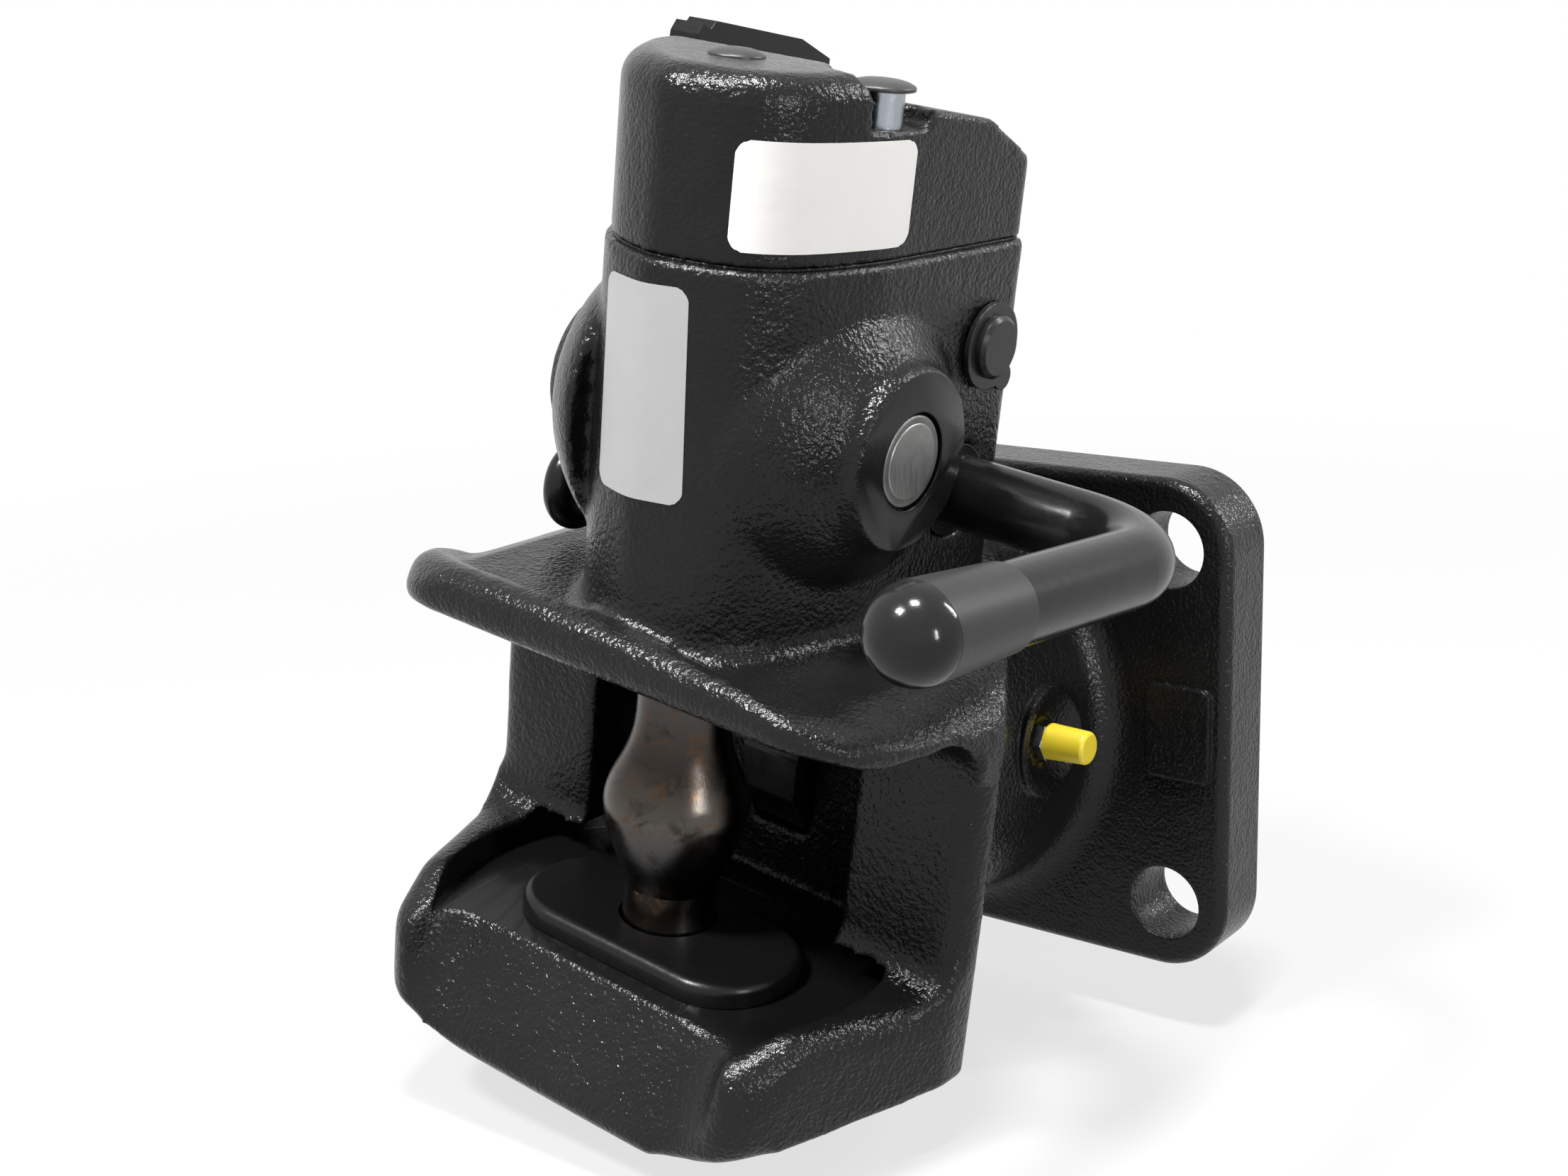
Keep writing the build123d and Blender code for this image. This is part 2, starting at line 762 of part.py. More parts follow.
# Head casting: tower with bosses, jaw and swivel stem, cast as one
with BuildPart() as head_casting:
    # Walls of the jaw between the lip and the tray
    with BuildSketch(Plane.XY.offset(tray_rim_z)) as wall_plan:
        with BuildLine():
            Polyline(
                (pocket_half_width, wall_front_y),
                (wall_half_width, wall_front_y),
                (wall_half_width, wall_rear_y),
                (head_rear_radius, head_rear_y),
                (-head_rear_radius, head_rear_y),
                (-wall_half_width, wall_rear_y),
                (-wall_half_width, wall_front_y),
                (-pocket_half_width, wall_front_y),
                (-pocket_half_width, pocket_rear_y),
                (pocket_half_width, pocket_rear_y),
                (pocket_half_width, wall_front_y),
            )
        make_face()
        front_corners = wall_plan.vertices().group_by(Axis.Y)[0].sort_by(Axis.X)
        fillet([front_corners[0], front_corners[-1]], wall_edge_round)
        fillet(wall_plan.vertices().filter_by(lambda v: abs(v.Y - pocket_rear_y) < 0.1), pocket_round)
    extrude(amount=mouth_ceiling_z - tray_rim_z)
    add(tray.part)
    add(upper_lip.part)
    add(wall_tops.part)
    add(wall_feet.part)
    add(beside_shoulders.part, mode=Mode.SUBTRACT)
    # Tower on top of the jaw
    with BuildSketch(Plane.XY.offset(mouth_ceiling_z + 1)):
        add(tower_outline(0))
    extrude(amount=parting_z - mouth_ceiling_z - 1)
    fillet(head_casting.faces().sort_by(Axis.Z)[-1].edges(), tower_rim_round)
    tower_foot = head_casting.edges().filter_by(
        lambda e: abs(e.center().Z - top_plate_z) < 0.01
        and abs(e.bounding_box().size.Z) < 0.01
        and abs(e.center().X) < tower_half_width + 1
        and e.center().Y > nose_y - 1
        and e.center().Y < head_rear_y - 1
    )
    fillet(tower_foot, tower_foot_round)
    add(lip_ridge.part)
    add(boss.part)
    add(mirror(boss.part, about=Plane.YZ, mode=Mode.PRIVATE))
    # Swivel stem with its thread
    with BuildSketch(from_front.offset(-stem_shoulder_y)):
        Circle(stem_radius)
    extrude(amount=stem_shoulder_y - head_rear_y)
    with BuildSketch(from_front.offset(-stem_end_y)):
        Circle(thread_radius)
    extrude(amount=stem_end_y - stem_shoulder_y, taper=0)
    chamfer(head_casting.faces().sort_by(Axis.Y)[-1].edges(), 2.0)
    # Boss of the lower bush under the tray
    with BuildSketch(pin_plane.offset(lower_boss_z)):
        Circle(lower_boss_radius)
    extrude(amount=floor_z - lower_boss_z)
    # Round machined floor of the mouth
    with BuildSketch(Plane.XY.offset(floor_z)):
        with Locations((0, pin_y)):
            Circle(machined_radius)
        with Locations((0, pocket_rear_y)):
            Rectangle(
                2 * machined_radius,
                machined_radius,
                align=(Align.CENTER, Align.MIN),
                mode=Mode.SUBTRACT,
            )
    extrude(amount=machined_rim_z - floor_z, mode=Mode.SUBTRACT)
    # Clearance over the hub for everything behind the head's rear face
    with BuildSketch(from_front.offset(-head_rear_y)):
        Circle(hub_back_radius + tower_underside_gap)
        Circle(stem_radius, mode=Mode.SUBTRACT)
    extrude(amount=head_rear_y - stem_shoulder_y, mode=Mode.SUBTRACT)
    # Bores of the coupling pin's guides
    with BuildSketch(pin_plane.offset(mouth_ceiling_z)):
        Circle(sleeve_radius)
    extrude(amount=parting_z - mouth_ceiling_z, mode=Mode.SUBTRACT)
    with BuildSketch(pin_plane.offset(lower_boss_z)):
        Circle(lower_bush_radius)
    extrude(amount=floor_z - lower_boss_z, mode=Mode.SUBTRACT)
    # Chamber of the lift arm behind the guide sleeve
    with BuildSketch(from_side.offset(-chamber_half_width)):
        Polygon(
            (chamber_rear_y, parting_z),
            (chamber_rear_y, chamber_rear_z),
            (chamber_knee_y, chamber_rear_z),
            (chamber_front_y, chamber_front_z),
            (chamber_front_y, parting_z),
            align=None,
        )
    extrude(amount=2 * chamber_half_width, mode=Mode.SUBTRACT)
    # Cross bores: lever shaft with its bushes, catch shaft, cross pins, trigger pin
    with BuildSketch(from_side.offset(-boss_face_x - 1)):
        with Locations((lever_y, lever_z)):
            Circle(lever_radius + running_gap + lever_bush_wall)
        with Locations((catch_y, catch_z)):
            Circle(catch_radius + running_gap)
    extrude(amount=2 * boss_face_x + 2, mode=Mode.SUBTRACT)
    for side in (-1, 1):
        with BuildSketch(from_side.offset(side * cross_pin_inner_x)):
            with Locations((boss_y, boss_z)):
                Circle(cross_pin_radius)
        extrude(amount=side * boss_face_x, mode=Mode.SUBTRACT)
    with BuildSketch(from_side.offset(-wall_half_width)):
        with Locations((trigger_pivot_y, trigger_pivot_z)):
            Circle(trigger_pin_radius)
    extrude(amount=wall_half_width + trigger_pin_half_length, mode=Mode.SUBTRACT)
    # Slot of the trigger in the jaw's rear wall
    with BuildSketch(from_side.offset(-trigger_half_width - trigger_side_gap)):
        Polygon(
            (pocket_rear_y - 1, trigger_foot_z - 2),
            (pocket_rear_y - 1, trigger_top_z + 4),
            (trigger_slot_rear_y, trigger_top_z + 4),
            (trigger_slot_rear_y, trigger_foot_z - 2),
            align=None,
        )
    extrude(amount=2 * (trigger_half_width + trigger_side_gap), mode=Mode.SUBTRACT)
    # Threaded holes of the cover screws and the cross hole of the split pin
    with BuildSketch(Plane.XY.offset(cover_bottom_z - cover_screw_reach)):
        with Locations((cover_screw_x, cover_screw_y), (-cover_screw_x, cover_screw_y)):
            Circle(cover_screw_radius)
    extrude(amount=cover_screw_reach, mode=Mode.SUBTRACT)
    with BuildSketch(Plane.XY.offset(-thread_radius)):
        with Locations((0, split_pin_y)):
            Circle(split_pin_radius)
    extrude(amount=2 * thread_radius, mode=Mode.SUBTRACT)
write_turned(head_casting.part, "head_casting")

# Guide sleeve of the coupling pin, slotted behind for the lift arm
with BuildPart() as guide_sleeve:
    with BuildSketch(pin_plane.offset(sleeve_bottom_z)):
        Circle(sleeve_radius)
        Circle(sleeve_bore_radius, mode=Mode.SUBTRACT)
    extrude(amount=sleeve_top_z - sleeve_bottom_z)
    with BuildSketch(Plane.XY.offset(sleeve_slot_z)):
        with Locations((0, pin_y)):
            Rectangle(2 * sleeve_slot_half_width, sleeve_radius, align=(Align.CENTER, Align.MIN))
    extrude(amount=sleeve_top_z - sleeve_slot_z, mode=Mode.SUBTRACT)
    for side in (-1, 1):
        with BuildSketch(from_side.offset(side * cross_pin_inner_x)):
            with Locations((boss_y, boss_z)):
                Circle(cross_pin_radius)
        extrude(amount=side * sleeve_radius, mode=Mode.SUBTRACT)
write_turned(guide_sleeve.part, "guide_sleeve")

# Two stub pins, pressed into the bosses, that hold the sleeve
with BuildPart() as cross_pins:
    with BuildSketch(from_side.offset(cross_pin_inner_x)):
        with Locations((boss_y, boss_z)):
            Circle(cross_pin_radius)
    extrude(amount=boss_face_x - cross_pin_recess - cross_pin_inner_x)
    chamfer(cross_pins.faces().sort_by(Axis.X)[-1].edges(), cross_pin_chamfer)
    mirror(about=Plane.YZ)
write_turned(cross_pins.part, "cross_pins")

# Lower bush and wear plate round the coupling pin
with BuildPart() as lower_bush:
    with BuildSketch(pin_plane.offset(lower_boss_z)):
        Circle(lower_bush_radius)
        Circle(lower_bush_bore_radius, mode=Mode.SUBTRACT)
    extrude(amount=floor_z - lower_boss_z)
write_turned(lower_bush.part, "lower_bush")

with BuildPart() as wear_plate:
    with BuildSketch(pin_plane.offset(floor_z)):
        with Locations((0, (wear_plate_back - wear_plate_front) / 2)):
            RectangleRounded(
                wear_plate_width, wear_plate_front + wear_plate_back, wear_plate_corner
            )
        Circle(pin_radius + wear_plate_hole_gap, mode=Mode.SUBTRACT)
    extrude(amount=wear_plate_top_z - floor_z)
    top_edges = wear_plate.faces().sort_by(Axis.Z)[-1].edges()
    fillet(top_edges.filter_by(lambda e: e.length > 1).filter_by(
        lambda e: e.geom_type != GeomType.CIRCLE or e.radius > pin_radius + 2
    ), wear_plate_round)
write_turned(wear_plate.part, "wear_plate")

# Coupling pin: tip, bulge for the drawbar eye, neck, shank with its notch, spigot
with BuildPart() as coupling_pin:
    with BuildSketch(Plane((0, pin_y, 0), x_dir=(1, 0, 0), z_dir=(0, -1, 0))):
        with BuildLine():
            Polyline(
                (0, pin_tip_z),
                (pin_radius - pin_tip_chamfer, pin_tip_z),
                (pin_radius, pin_tip_z + pin_tip_chamfer),
                (pin_radius, bulge_foot_z),
            )
            Spline(
                (pin_radius, bulge_foot_z),
                (bulge_ring_radius, bulge_ring_z),
                tangents=((0.2, 1), (0.35, 1)),
            )
            Spline(
                (bulge_ring_radius, bulge_ring_z),
                (bulge_radius, bulge_z),
                (pin_radius, neck_bottom_z),
                tangents=((0.35, 1), (0, 1)),
            )
            Line((pin_radius, neck_bottom_z), (pin_radius, neck_top_z))
            Polyline(
                (pin_radius, neck_top_z),
                (shank_radius, shank_bottom_z),
                (shank_radius, shank_top_z),
                (spigot_radius, shank_top_z),
                (spigot_radius, shank_top_z + spigot_height),
                (0, shank_top_z + spigot_height),
                (0, pin_tip_z),
            )
        make_face()
    revolve(axis=Axis((0, pin_y, 0), (0, 0, 1)))
    with BuildSketch(from_side.offset(-notch_half_width)):
        Polygon(*notch_profile, align=None)
    extrude(amount=2 * notch_half_width, mode=Mode.SUBTRACT)
write_turned(coupling_pin.part, "coupling_pin")

# Closing spring between the pin's shoulder and the cover
with BuildPart() as closing_spring:
    spring_length = spring_chamber_z - shank_top_z - 2 * closing_wire / 2
    with BuildLine(Plane((0, pin_y, shank_top_z + closing_wire / 2))) as closing_coil:
        Helix(
            pitch=spring_length / closing_turns,
            height=spring_length,
            radius=closing_spring_radius,
        )
    with BuildSketch(Plane(closing_coil.line @ 0, z_dir=closing_coil.line % 0)):
        Circle(closing_wire / 2)
    sweep(is_frenet=True)
write_turned(closing_spring.part, "closing_spring")

# Cover of the tower with its sloping roof
with BuildPart() as tower_cover:
    with BuildSketch(Plane.XY.offset(cover_bottom_z)):
        add(tower_outline(cover_step_in))
    extrude(amount=cover_front_top_z - cover_bottom_z)
    fillet(tower_cover.faces().sort_by(Axis.Z)[-1].edges(), cover_top_round)
    with BuildSketch(from_side.offset(-tower_half_width)) as cover_side:
        with BuildLine():
            Polyline(
                (nose_y - 1, cover_bottom_z),
                (nose_y - 1, cover_front_top_z),
                (cover_front_end_y, cover_front_top_z),
                (cover_slope_end_y, cover_slope_end_z),
                (cover_low_end_y, cover_low_end_z),
                (tower_rear_y - cover_step_in, cover_rear_z),
                (tower_rear_y - cover_step_in, cover_bottom_z),
                (nose_y - 1, cover_bottom_z),
            )
        make_face()
        bends = cover_side.vertices().filter_by(lambda v: v.Z > cover_rear_z + 1)
        fillet(bends.filter_by(lambda v: v.Y > nose_y), cover_bend_round)
    extrude(amount=2 * tower_half_width, mode=Mode.INTERSECT)
    # Recess round the indicator, open to the side
    with BuildSketch(Plane.XY.offset(indicator_floor_z)):
        with Locations((indicator_x, indicator_y)):
            Circle(indicator_pocket_radius)
    extrude(amount=cover_front_top_z, mode=Mode.SUBTRACT)
    with BuildSketch(Plane.XY.offset(indicator_floor_z - indicator_depth)):
        with Locations((indicator_x, indicator_y)):
            Circle(indicator_radius + running_gap)
    extrude(amount=indicator_depth, mode=Mode.SUBTRACT)
    # Chambers of the shank and of the closing spring
    with BuildSketch(pin_plane.offset(cover_bottom_z)):
        Circle(shank_radius + seat_gap)
    extrude(amount=shank_room_z - cover_bottom_z, mode=Mode.SUBTRACT)
    with BuildSketch(pin_plane.offset(cover_bottom_z)):
        Circle(closing_spring_radius + closing_wire)
    extrude(amount=spring_chamber_z - cover_bottom_z, mode=Mode.SUBTRACT)
    # Hole of the plug and counterbored holes of the screws
    with BuildSketch(pin_plane.offset(spring_chamber_z)):
        Circle(plug_stem_radius)
    extrude(amount=cover_roof, mode=Mode.SUBTRACT)
    with BuildSketch(Plane.XY.offset(cover_bottom_z)):
        with Locations((cover_screw_x, cover_screw_y), (-cover_screw_x, cover_screw_y)):
            Circle(cover_screw_radius)
    extrude(amount=cover_front_top_z, mode=Mode.SUBTRACT)
    with BuildSketch(Plane.XY.offset(cover_screw_seat_z)):
        with Locations((cover_screw_x, cover_screw_y), (-cover_screw_x, cover_screw_y)):
            Circle(cover_screw_head_radius + seat_gap)
    extrude(amount=cover_front_top_z, mode=Mode.SUBTRACT)
write_turned(tower_cover.part, "tower_cover")

with BuildPart() as cover_gasket:
    with BuildSketch(Plane.XY.offset(parting_z)):
        add(tower_outline(gasket_step_in))
        with Locations((0, pin_y)):
            Circle(sleeve_radius, mode=Mode.SUBTRACT)
        with Locations((0, (chamber_rear_y + chamber_front_y) / 2)):
            Rectangle(
                2 * chamber_half_width, chamber_rear_y - chamber_front_y, mode=Mode.SUBTRACT
            )
        with Locations((cover_screw_x, cover_screw_y), (-cover_screw_x, cover_screw_y)):
            Circle(cover_screw_radius, mode=Mode.SUBTRACT)
    extrude(amount=gasket_thickness)
write_turned(cover_gasket.part, "cover_gasket")

with BuildPart() as cover_screws:
    with Locations((cover_screw_x, cover_screw_y), (-cover_screw_x, cover_screw_y)):
        with Locations((0, 0, cover_bottom_z - cover_screw_reach)):
            Cylinder(
                cover_screw_radius,
                cover_screw_reach + cover_screw_seat_z - cover_bottom_z,
                align=(Align.CENTER, Align.CENTER, Align.MIN),
            )
        with Locations((0, 0, cover_screw_seat_z)):
            Cylinder(
                cover_screw_head_radius,
                cover_screw_head_height,
                align=(Align.CENTER, Align.CENTER, Align.MIN),
            )
        with Locations((0, 0, cover_screw_seat_z + cover_screw_head_height / 2)):
            Cylinder(
                cover_screw_key_radius,
                cover_screw_head_height / 2,
                align=(Align.CENTER, Align.CENTER, Align.MIN),
                mode=Mode.SUBTRACT,
            )
write_turned(cover_screws.part, "cover_screws")

# Domed plug over the closing spring
with BuildPart() as top_plug:
    with BuildSketch(pin_plane.offset(cover_front_top_z - plug_stem_length)):
        Circle(plug_stem_radius)
    extrude(amount=plug_stem_length)
    with BuildSketch(pin_plane.offset(cover_front_top_z)):
        Circle(plug_radius)
    extrude(amount=plug_rise)
    fillet(top_plug.faces().sort_by(Axis.Z)[-1].edges(), plug_rise * 0.8)
write_turned(top_plug.part, "top_plug")

# Indicator: a round pin in the cover with a domed cap and a light spring under it
with BuildPart() as indicator_pin:
    with BuildSketch(Plane.XY.offset(indicator_foot_z)):
        with Locations((indicator_x, indicator_y)):
            Circle(indicator_radius)
    extrude(amount=indicator_cap_z - indicator_foot_z)
write_turned(indicator_pin.part, "indicator_pin")

with BuildPart() as indicator_cap:
    with BuildSketch(Plane.XY.offset(indicator_cap_z)):
        with Locations((indicator_x, indicator_y)):
            Circle(indicator_cap_radius)
    extrude(amount=indicator_cap_height)
    fillet(indicator_cap.faces().sort_by(Axis.Z)[-1].edges(), indicator_cap_height * 0.7)
write_turned(indicator_cap.part, "indicator_cap")

# Hand lever: cross shaft, bend and the leg that reaches forward beside the tower
lever_plane = Plane(
    (0, lever_y, lever_z),
    x_dir=(1, 0, 0),
    z_dir=(0, -sin(radians(lever_rise)), -cos(radians(lever_rise))),
)
with BuildPart() as hand_lever:
    with BuildLine(lever_plane) as lever_path:
        shaft_line = Line((-lever_shaft_end_x, 0), (lever_reach_x - lever_bend_radius, 0))
        RadiusArc(
            (lever_reach_x - lever_bend_radius, 0),
            (lever_reach_x, lever_bend_radius),
            -lever_bend_radius,
        )
        Line((lever_reach_x, lever_bend_radius), (lever_reach_x, lever_leg_length))
    with BuildSketch(Plane((-lever_shaft_end_x, lever_y, lever_z), z_dir=(1, 0, 0))):
        Circle(lever_radius)
    sweep(path=lever_path.wires()[0])
write_turned(hand_lever.part, "hand_lever")

# Plastic cap pushed on the lever's end
grip_centre = lever_plane.from_local_coords(Vector(lever_reach_x, 0, 0))
with BuildPart() as grip_cap:
    with BuildSketch(lever_plane):
        with BuildLine():
            Polyline(
                (lever_reach_x, lever_leg_length + grip_radius),
                (lever_reach_x, grip_start),
                (lever_reach_x + grip_radius - 1, grip_start),
                (lever_reach_x + grip_radius, lever_leg_length),
            )
            RadiusArc(
                (lever_reach_x + grip_radius, lever_leg_length),
                (lever_reach_x, lever_leg_length + grip_radius),
                -grip_radius,
            )
        make_face()
    revolve(axis=Axis(grip_centre, lever_plane.y_dir))
    with BuildSketch(Plane(grip_centre, z_dir=lever_plane.y_dir)):
        Circle(lever_radius)
    extrude(amount=lever_leg_length, mode=Mode.SUBTRACT)
write_turned(grip_cap.part, "grip_cap")

# Bushes of the lever's shaft in the two cheeks
with BuildPart() as lever_bushes:
    with BuildSketch(from_side.offset(chamber_half_width)):
        with Locations((lever_y, lever_z)):
            Circle(lever_radius + running_gap + lever_bush_wall)
            Circle(lever_radius + running_gap, mode=Mode.SUBTRACT)
    extrude(amount=tower_half_width - chamber_half_width)
    mirror(about=Plane.YZ)
write_turned(lever_bushes.part, "lever_bushes")

# Lift arm on the lever's shaft; a notch in its hub is for the catch pawl
with BuildPart() as lift_arm:
    with BuildSketch(from_side.offset(-lift_arm_thickness / 2)):
        with Locations((lever_y, lever_z)):
            Circle(lift_hub_radius)
        with Locations((lift_nose_y, lift_nose_z)):
            Circle(lift_nose_radius)
        with Locations(((lever_y + lift_nose_y) / 2, (lever_z + lift_nose_z) / 2)):
            Rectangle(lift_arm_length, lift_arm_width, rotation=-lift_arm_rest_angle)
        with Locations(
            (
                lever_y + lift_hub_radius * cos(radians(lift_notch_angle)),
                lever_z + lift_hub_radius * sin(radians(lift_notch_angle)),
            )
        ):
            Circle(pawl_tip_radius + seat_gap, mode=Mode.SUBTRACT)
        with Locations((lever_y, lever_z)):
            Circle(lever_radius, mode=Mode.SUBTRACT)
    extrude(amount=lift_arm_thickness)
write_turned(lift_arm.part, "lift_arm")

# Pull hook, drawn in the middle plane and moved to the far end of the lever's shaft
with BuildPart() as pull_hook:
    with BuildSketch(from_side.offset(-hook_hub_width / 2)):
        with Locations((lever_y, lever_z)):
            Circle(hook_hub_radius)
    extrude(amount=hook_hub_width)
    with BuildLine(from_side) as hook_neck:
        Spline(
            (lever_y - hook_hub_radius + 1, lever_z - 3),
            (hook_centre_y + 5, hook_centre_z + hook_curl_radius + 2),
            (hook_centre_y - hook_curl_radius, hook_centre_z),
            tangents=((-1, -0.2), (0, -1)),
        )
    with BuildSketch(Plane(hook_neck.line @ 0, z_dir=hook_neck.line % 0)):
        Circle(hook_bar_radius)
    sweep(path=hook_neck.line)
    with BuildSketch(Plane.XY.offset(hook_centre_z)):
        with Locations((0, hook_centre_y - hook_curl_radius)):
            Circle(hook_bar_radius)
    revolve(
        axis=Axis((0, hook_centre_y, hook_centre_z), (1, 0, 0)),
        revolution_arc=hook_curl_angle,
    )
    with BuildSketch(from_side.offset(-hook_hub_width / 2)):
        with Locations((lever_y, lever_z)):
            Circle(lever_radius)
    extrude(amount=hook_hub_width, mode=Mode.SUBTRACT)
write_turned(Pos(-hook_x, 0, 0) * pull_hook.part, "pull_hook")

# Catch: cross shaft, pawl inside the tower, release arm outside on the left
with BuildPart() as catch_shaft:
    with BuildSketch(from_side.offset(-arm_inner_x - arm_thickness)):
        with Locations((catch_y, catch_z)):
            Circle(catch_radius)
    extrude(amount=arm_inner_x + arm_thickness + catch_end_x)
    chamfer(catch_shaft.faces().sort_by(Axis.X)[-1].edges(), 1.0)
    with BuildSketch(from_side.offset(ring_x)):
        with Locations((catch_y, catch_z)):
            Circle(catch_radius)
            Circle(catch_radius - ring_groove_depth, mode=Mode.SUBTRACT)
    extrude(amount=ring_thickness, mode=Mode.SUBTRACT)
write_turned(catch_shaft.part, "catch_shaft")

with BuildPart() as catch_pawl:
    with BuildSketch(from_side.offset(-pawl_width / 2)):
        with Locations((catch_y, catch_z)):
            Circle(pawl_hub_radius)
        with Locations((pawl_tip_y, pawl_tip_z)):
            Circle(pawl_tip_radius)
        Polygon(
            (catch_y - pawl_hub_radius + 1, catch_z - 2),
            (pawl_tip_y - pawl_tip_radius, pawl_tip_z),
            (pawl_tip_y + pawl_tip_radius, pawl_tip_z),
            (catch_y + 6, catch_z - pawl_hub_radius + 3),
            align=None,
        )
        with Locations((catch_y, catch_z)):
            Circle(catch_radius, mode=Mode.SUBTRACT)
    extrude(amount=pawl_width)
write_turned(catch_pawl.part, "catch_pawl")

with BuildPart() as release_arm:
    with BuildSketch(from_side.offset(-arm_inner_x - arm_thickness)):
        Polygon(*arm_profile, align=None)
        with Locations((catch_y, catch_z)):
            Circle(arm_hub_radius)
            Circle(catch_radius, mode=Mode.SUBTRACT)
    extrude(amount=arm_thickness)
write_turned(release_arm.part, "release_arm")

# Retaining ring with its tail on the shaft's right end
with BuildPart() as retaining_ring:
    with BuildSketch(from_side.offset(ring_x)):
        with Locations((catch_y, catch_z)):
            Circle(ring_radius)
        with Locations((catch_y + ring_radius * 0.6, catch_z - ring_radius * 0.8)):
            Circle(ring_tail_radius)
        with Locations((catch_y, catch_z)):
            Circle(catch_radius - ring_groove_depth, mode=Mode.SUBTRACT)
    extrude(amount=ring_thickness)
write_turned(retaining_ring.part, "retaining_ring")

# Trigger in the jaw's rear wall and its hinge pin
with BuildPart() as trigger_lever:
    with BuildSketch(from_side.offset(-trigger_half_width)):
        Polygon(*trigger_profile, align=None)
        with Locations((trigger_pivot_y, trigger_pivot_z)):
            Circle(trigger_pin_radius + running_gap, mode=Mode.SUBTRACT)
    extrude(amount=2 * trigger_half_width)
    fillet(trigger_lever.edges().filter_by(Axis.X).group_by(Axis.Y)[0], trigger_nose_round)
write_turned(trigger_lever.part, "trigger_lever")

with BuildPart() as trigger_pin:
    with BuildSketch(from_side.offset(-trigger_pin_half_length)):
        with Locations((trigger_pivot_y, trigger_pivot_z)):
            Circle(trigger_pin_radius)
    extrude(amount=2 * trigger_pin_half_length)
write_turned(trigger_pin.part, "trigger_pin")

# Washer, castle nut and split pin on the stem behind the flange
with BuildPart() as nut_washer:
    with BuildSketch(from_front.offset(-nut_washer_y)):
        Circle(nut_washer_radius)
        Circle(thread_radius + seat_gap, mode=Mode.SUBTRACT)
    extrude(amount=-nut_washer_thickness)
write_turned(nut_washer.part, "nut_washer")

with BuildPart() as castle_nut:
    with BuildSketch(from_front.offset(-nut_y)):
        RegularPolygon(nut_across_flats / 2, 6, major_radius=False)
        Circle(thread_radius, mode=Mode.SUBTRACT)
    extrude(amount=-nut_height)
    with BuildSketch(from_front.offset(-nut_y - nut_height)):
        for turn in (30, 90, 150):
            Rectangle(2 * nut_across_flats, nut_slot_width, rotation=turn)
    extrude(amount=nut_slot_depth, mode=Mode.SUBTRACT)
write_turned(castle_nut.part, "castle_nut")

with BuildPart() as split_pin:
    with BuildSketch(Plane.XY.offset(-split_pin_reach)):
        with Locations((0, split_pin_y)):
            Circle(split_pin_radius)
    extrude(amount=2 * split_pin_reach)
    with Locations((0, split_pin_y, split_pin_reach)):
        Sphere(split_pin_head_radius)
write_turned(split_pin.part, "split_pin")
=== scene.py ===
from math import cos, pi, radians, sin

import bmesh
import bpy
from mathutils import Matrix, Vector


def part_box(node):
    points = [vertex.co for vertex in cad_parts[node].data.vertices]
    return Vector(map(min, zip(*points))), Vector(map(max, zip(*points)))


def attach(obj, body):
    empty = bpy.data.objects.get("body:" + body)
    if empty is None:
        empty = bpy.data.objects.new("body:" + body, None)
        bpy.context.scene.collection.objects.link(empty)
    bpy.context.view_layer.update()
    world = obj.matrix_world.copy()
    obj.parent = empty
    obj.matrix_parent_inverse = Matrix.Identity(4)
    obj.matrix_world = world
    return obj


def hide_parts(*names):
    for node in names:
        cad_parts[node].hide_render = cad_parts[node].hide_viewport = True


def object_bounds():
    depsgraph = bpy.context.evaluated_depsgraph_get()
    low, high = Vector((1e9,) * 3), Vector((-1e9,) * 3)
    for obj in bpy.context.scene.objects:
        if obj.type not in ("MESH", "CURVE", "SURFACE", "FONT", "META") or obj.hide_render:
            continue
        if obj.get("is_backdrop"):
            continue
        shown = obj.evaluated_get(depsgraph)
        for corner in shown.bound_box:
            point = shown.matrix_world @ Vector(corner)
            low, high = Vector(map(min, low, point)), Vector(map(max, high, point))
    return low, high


bl_info = {
    "name": "Trailer coupling looks",
    "version": (1, 0, 0),
    "blender": (4, 5, 0),
    "location": "3D View > Sidebar > Coupling",
    "description": "Cast surfaces, finishes, bare labels and a plain studio for a trailer coupling",
    "category": "Object",
}

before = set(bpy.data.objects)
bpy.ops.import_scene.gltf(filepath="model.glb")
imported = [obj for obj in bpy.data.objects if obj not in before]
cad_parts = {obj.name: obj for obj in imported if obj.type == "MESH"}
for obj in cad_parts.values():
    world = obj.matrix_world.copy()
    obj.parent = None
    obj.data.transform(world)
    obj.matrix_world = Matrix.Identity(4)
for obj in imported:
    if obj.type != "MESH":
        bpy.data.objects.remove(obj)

# The head stands turned about the flange's axis by this angle at rest
HEAD_TURN = radians(9.0)
UPRIGHT = Matrix.Rotation(HEAD_TURN, 4, "Y")
MM = 0.001

# Axes of the coupling pin and of the cross pins, in upright millimetres
PIN_Y = -129.0
CROSS_Y, CROSS_Z = -111.4, 97.2

# Milled floor of the jaw: lowest level, radius, depth of the cut, and its straight rear edge
MILLED_Z = -40.2
MILLED_RADIUS = 61.2
MILLED_DEPTH = 10.2
MILLED_REAR_Y = -94.3

# Faces of both bosses, and the seats of the cross pins' ends in them
BOSS_FACE_X = 47.7
BOSS_CUT_RADIUS = 34.0
SEAT_X = 44.0
SEAT_RADIUS = 11.9
BOSS_CUT_LENGTH = 12.0

# The stem is bare steel from inside the hub to its thread, in metres
STEM_START_Y = -0.045

# The camera's focal length in pixels of an image of this width, and its place in metres
FOCAL_PIXELS = 3068.2
IMAGE_WIDTH = 2212
CAMERA_PLACE = (0.3445, -0.5197, 0.1901)

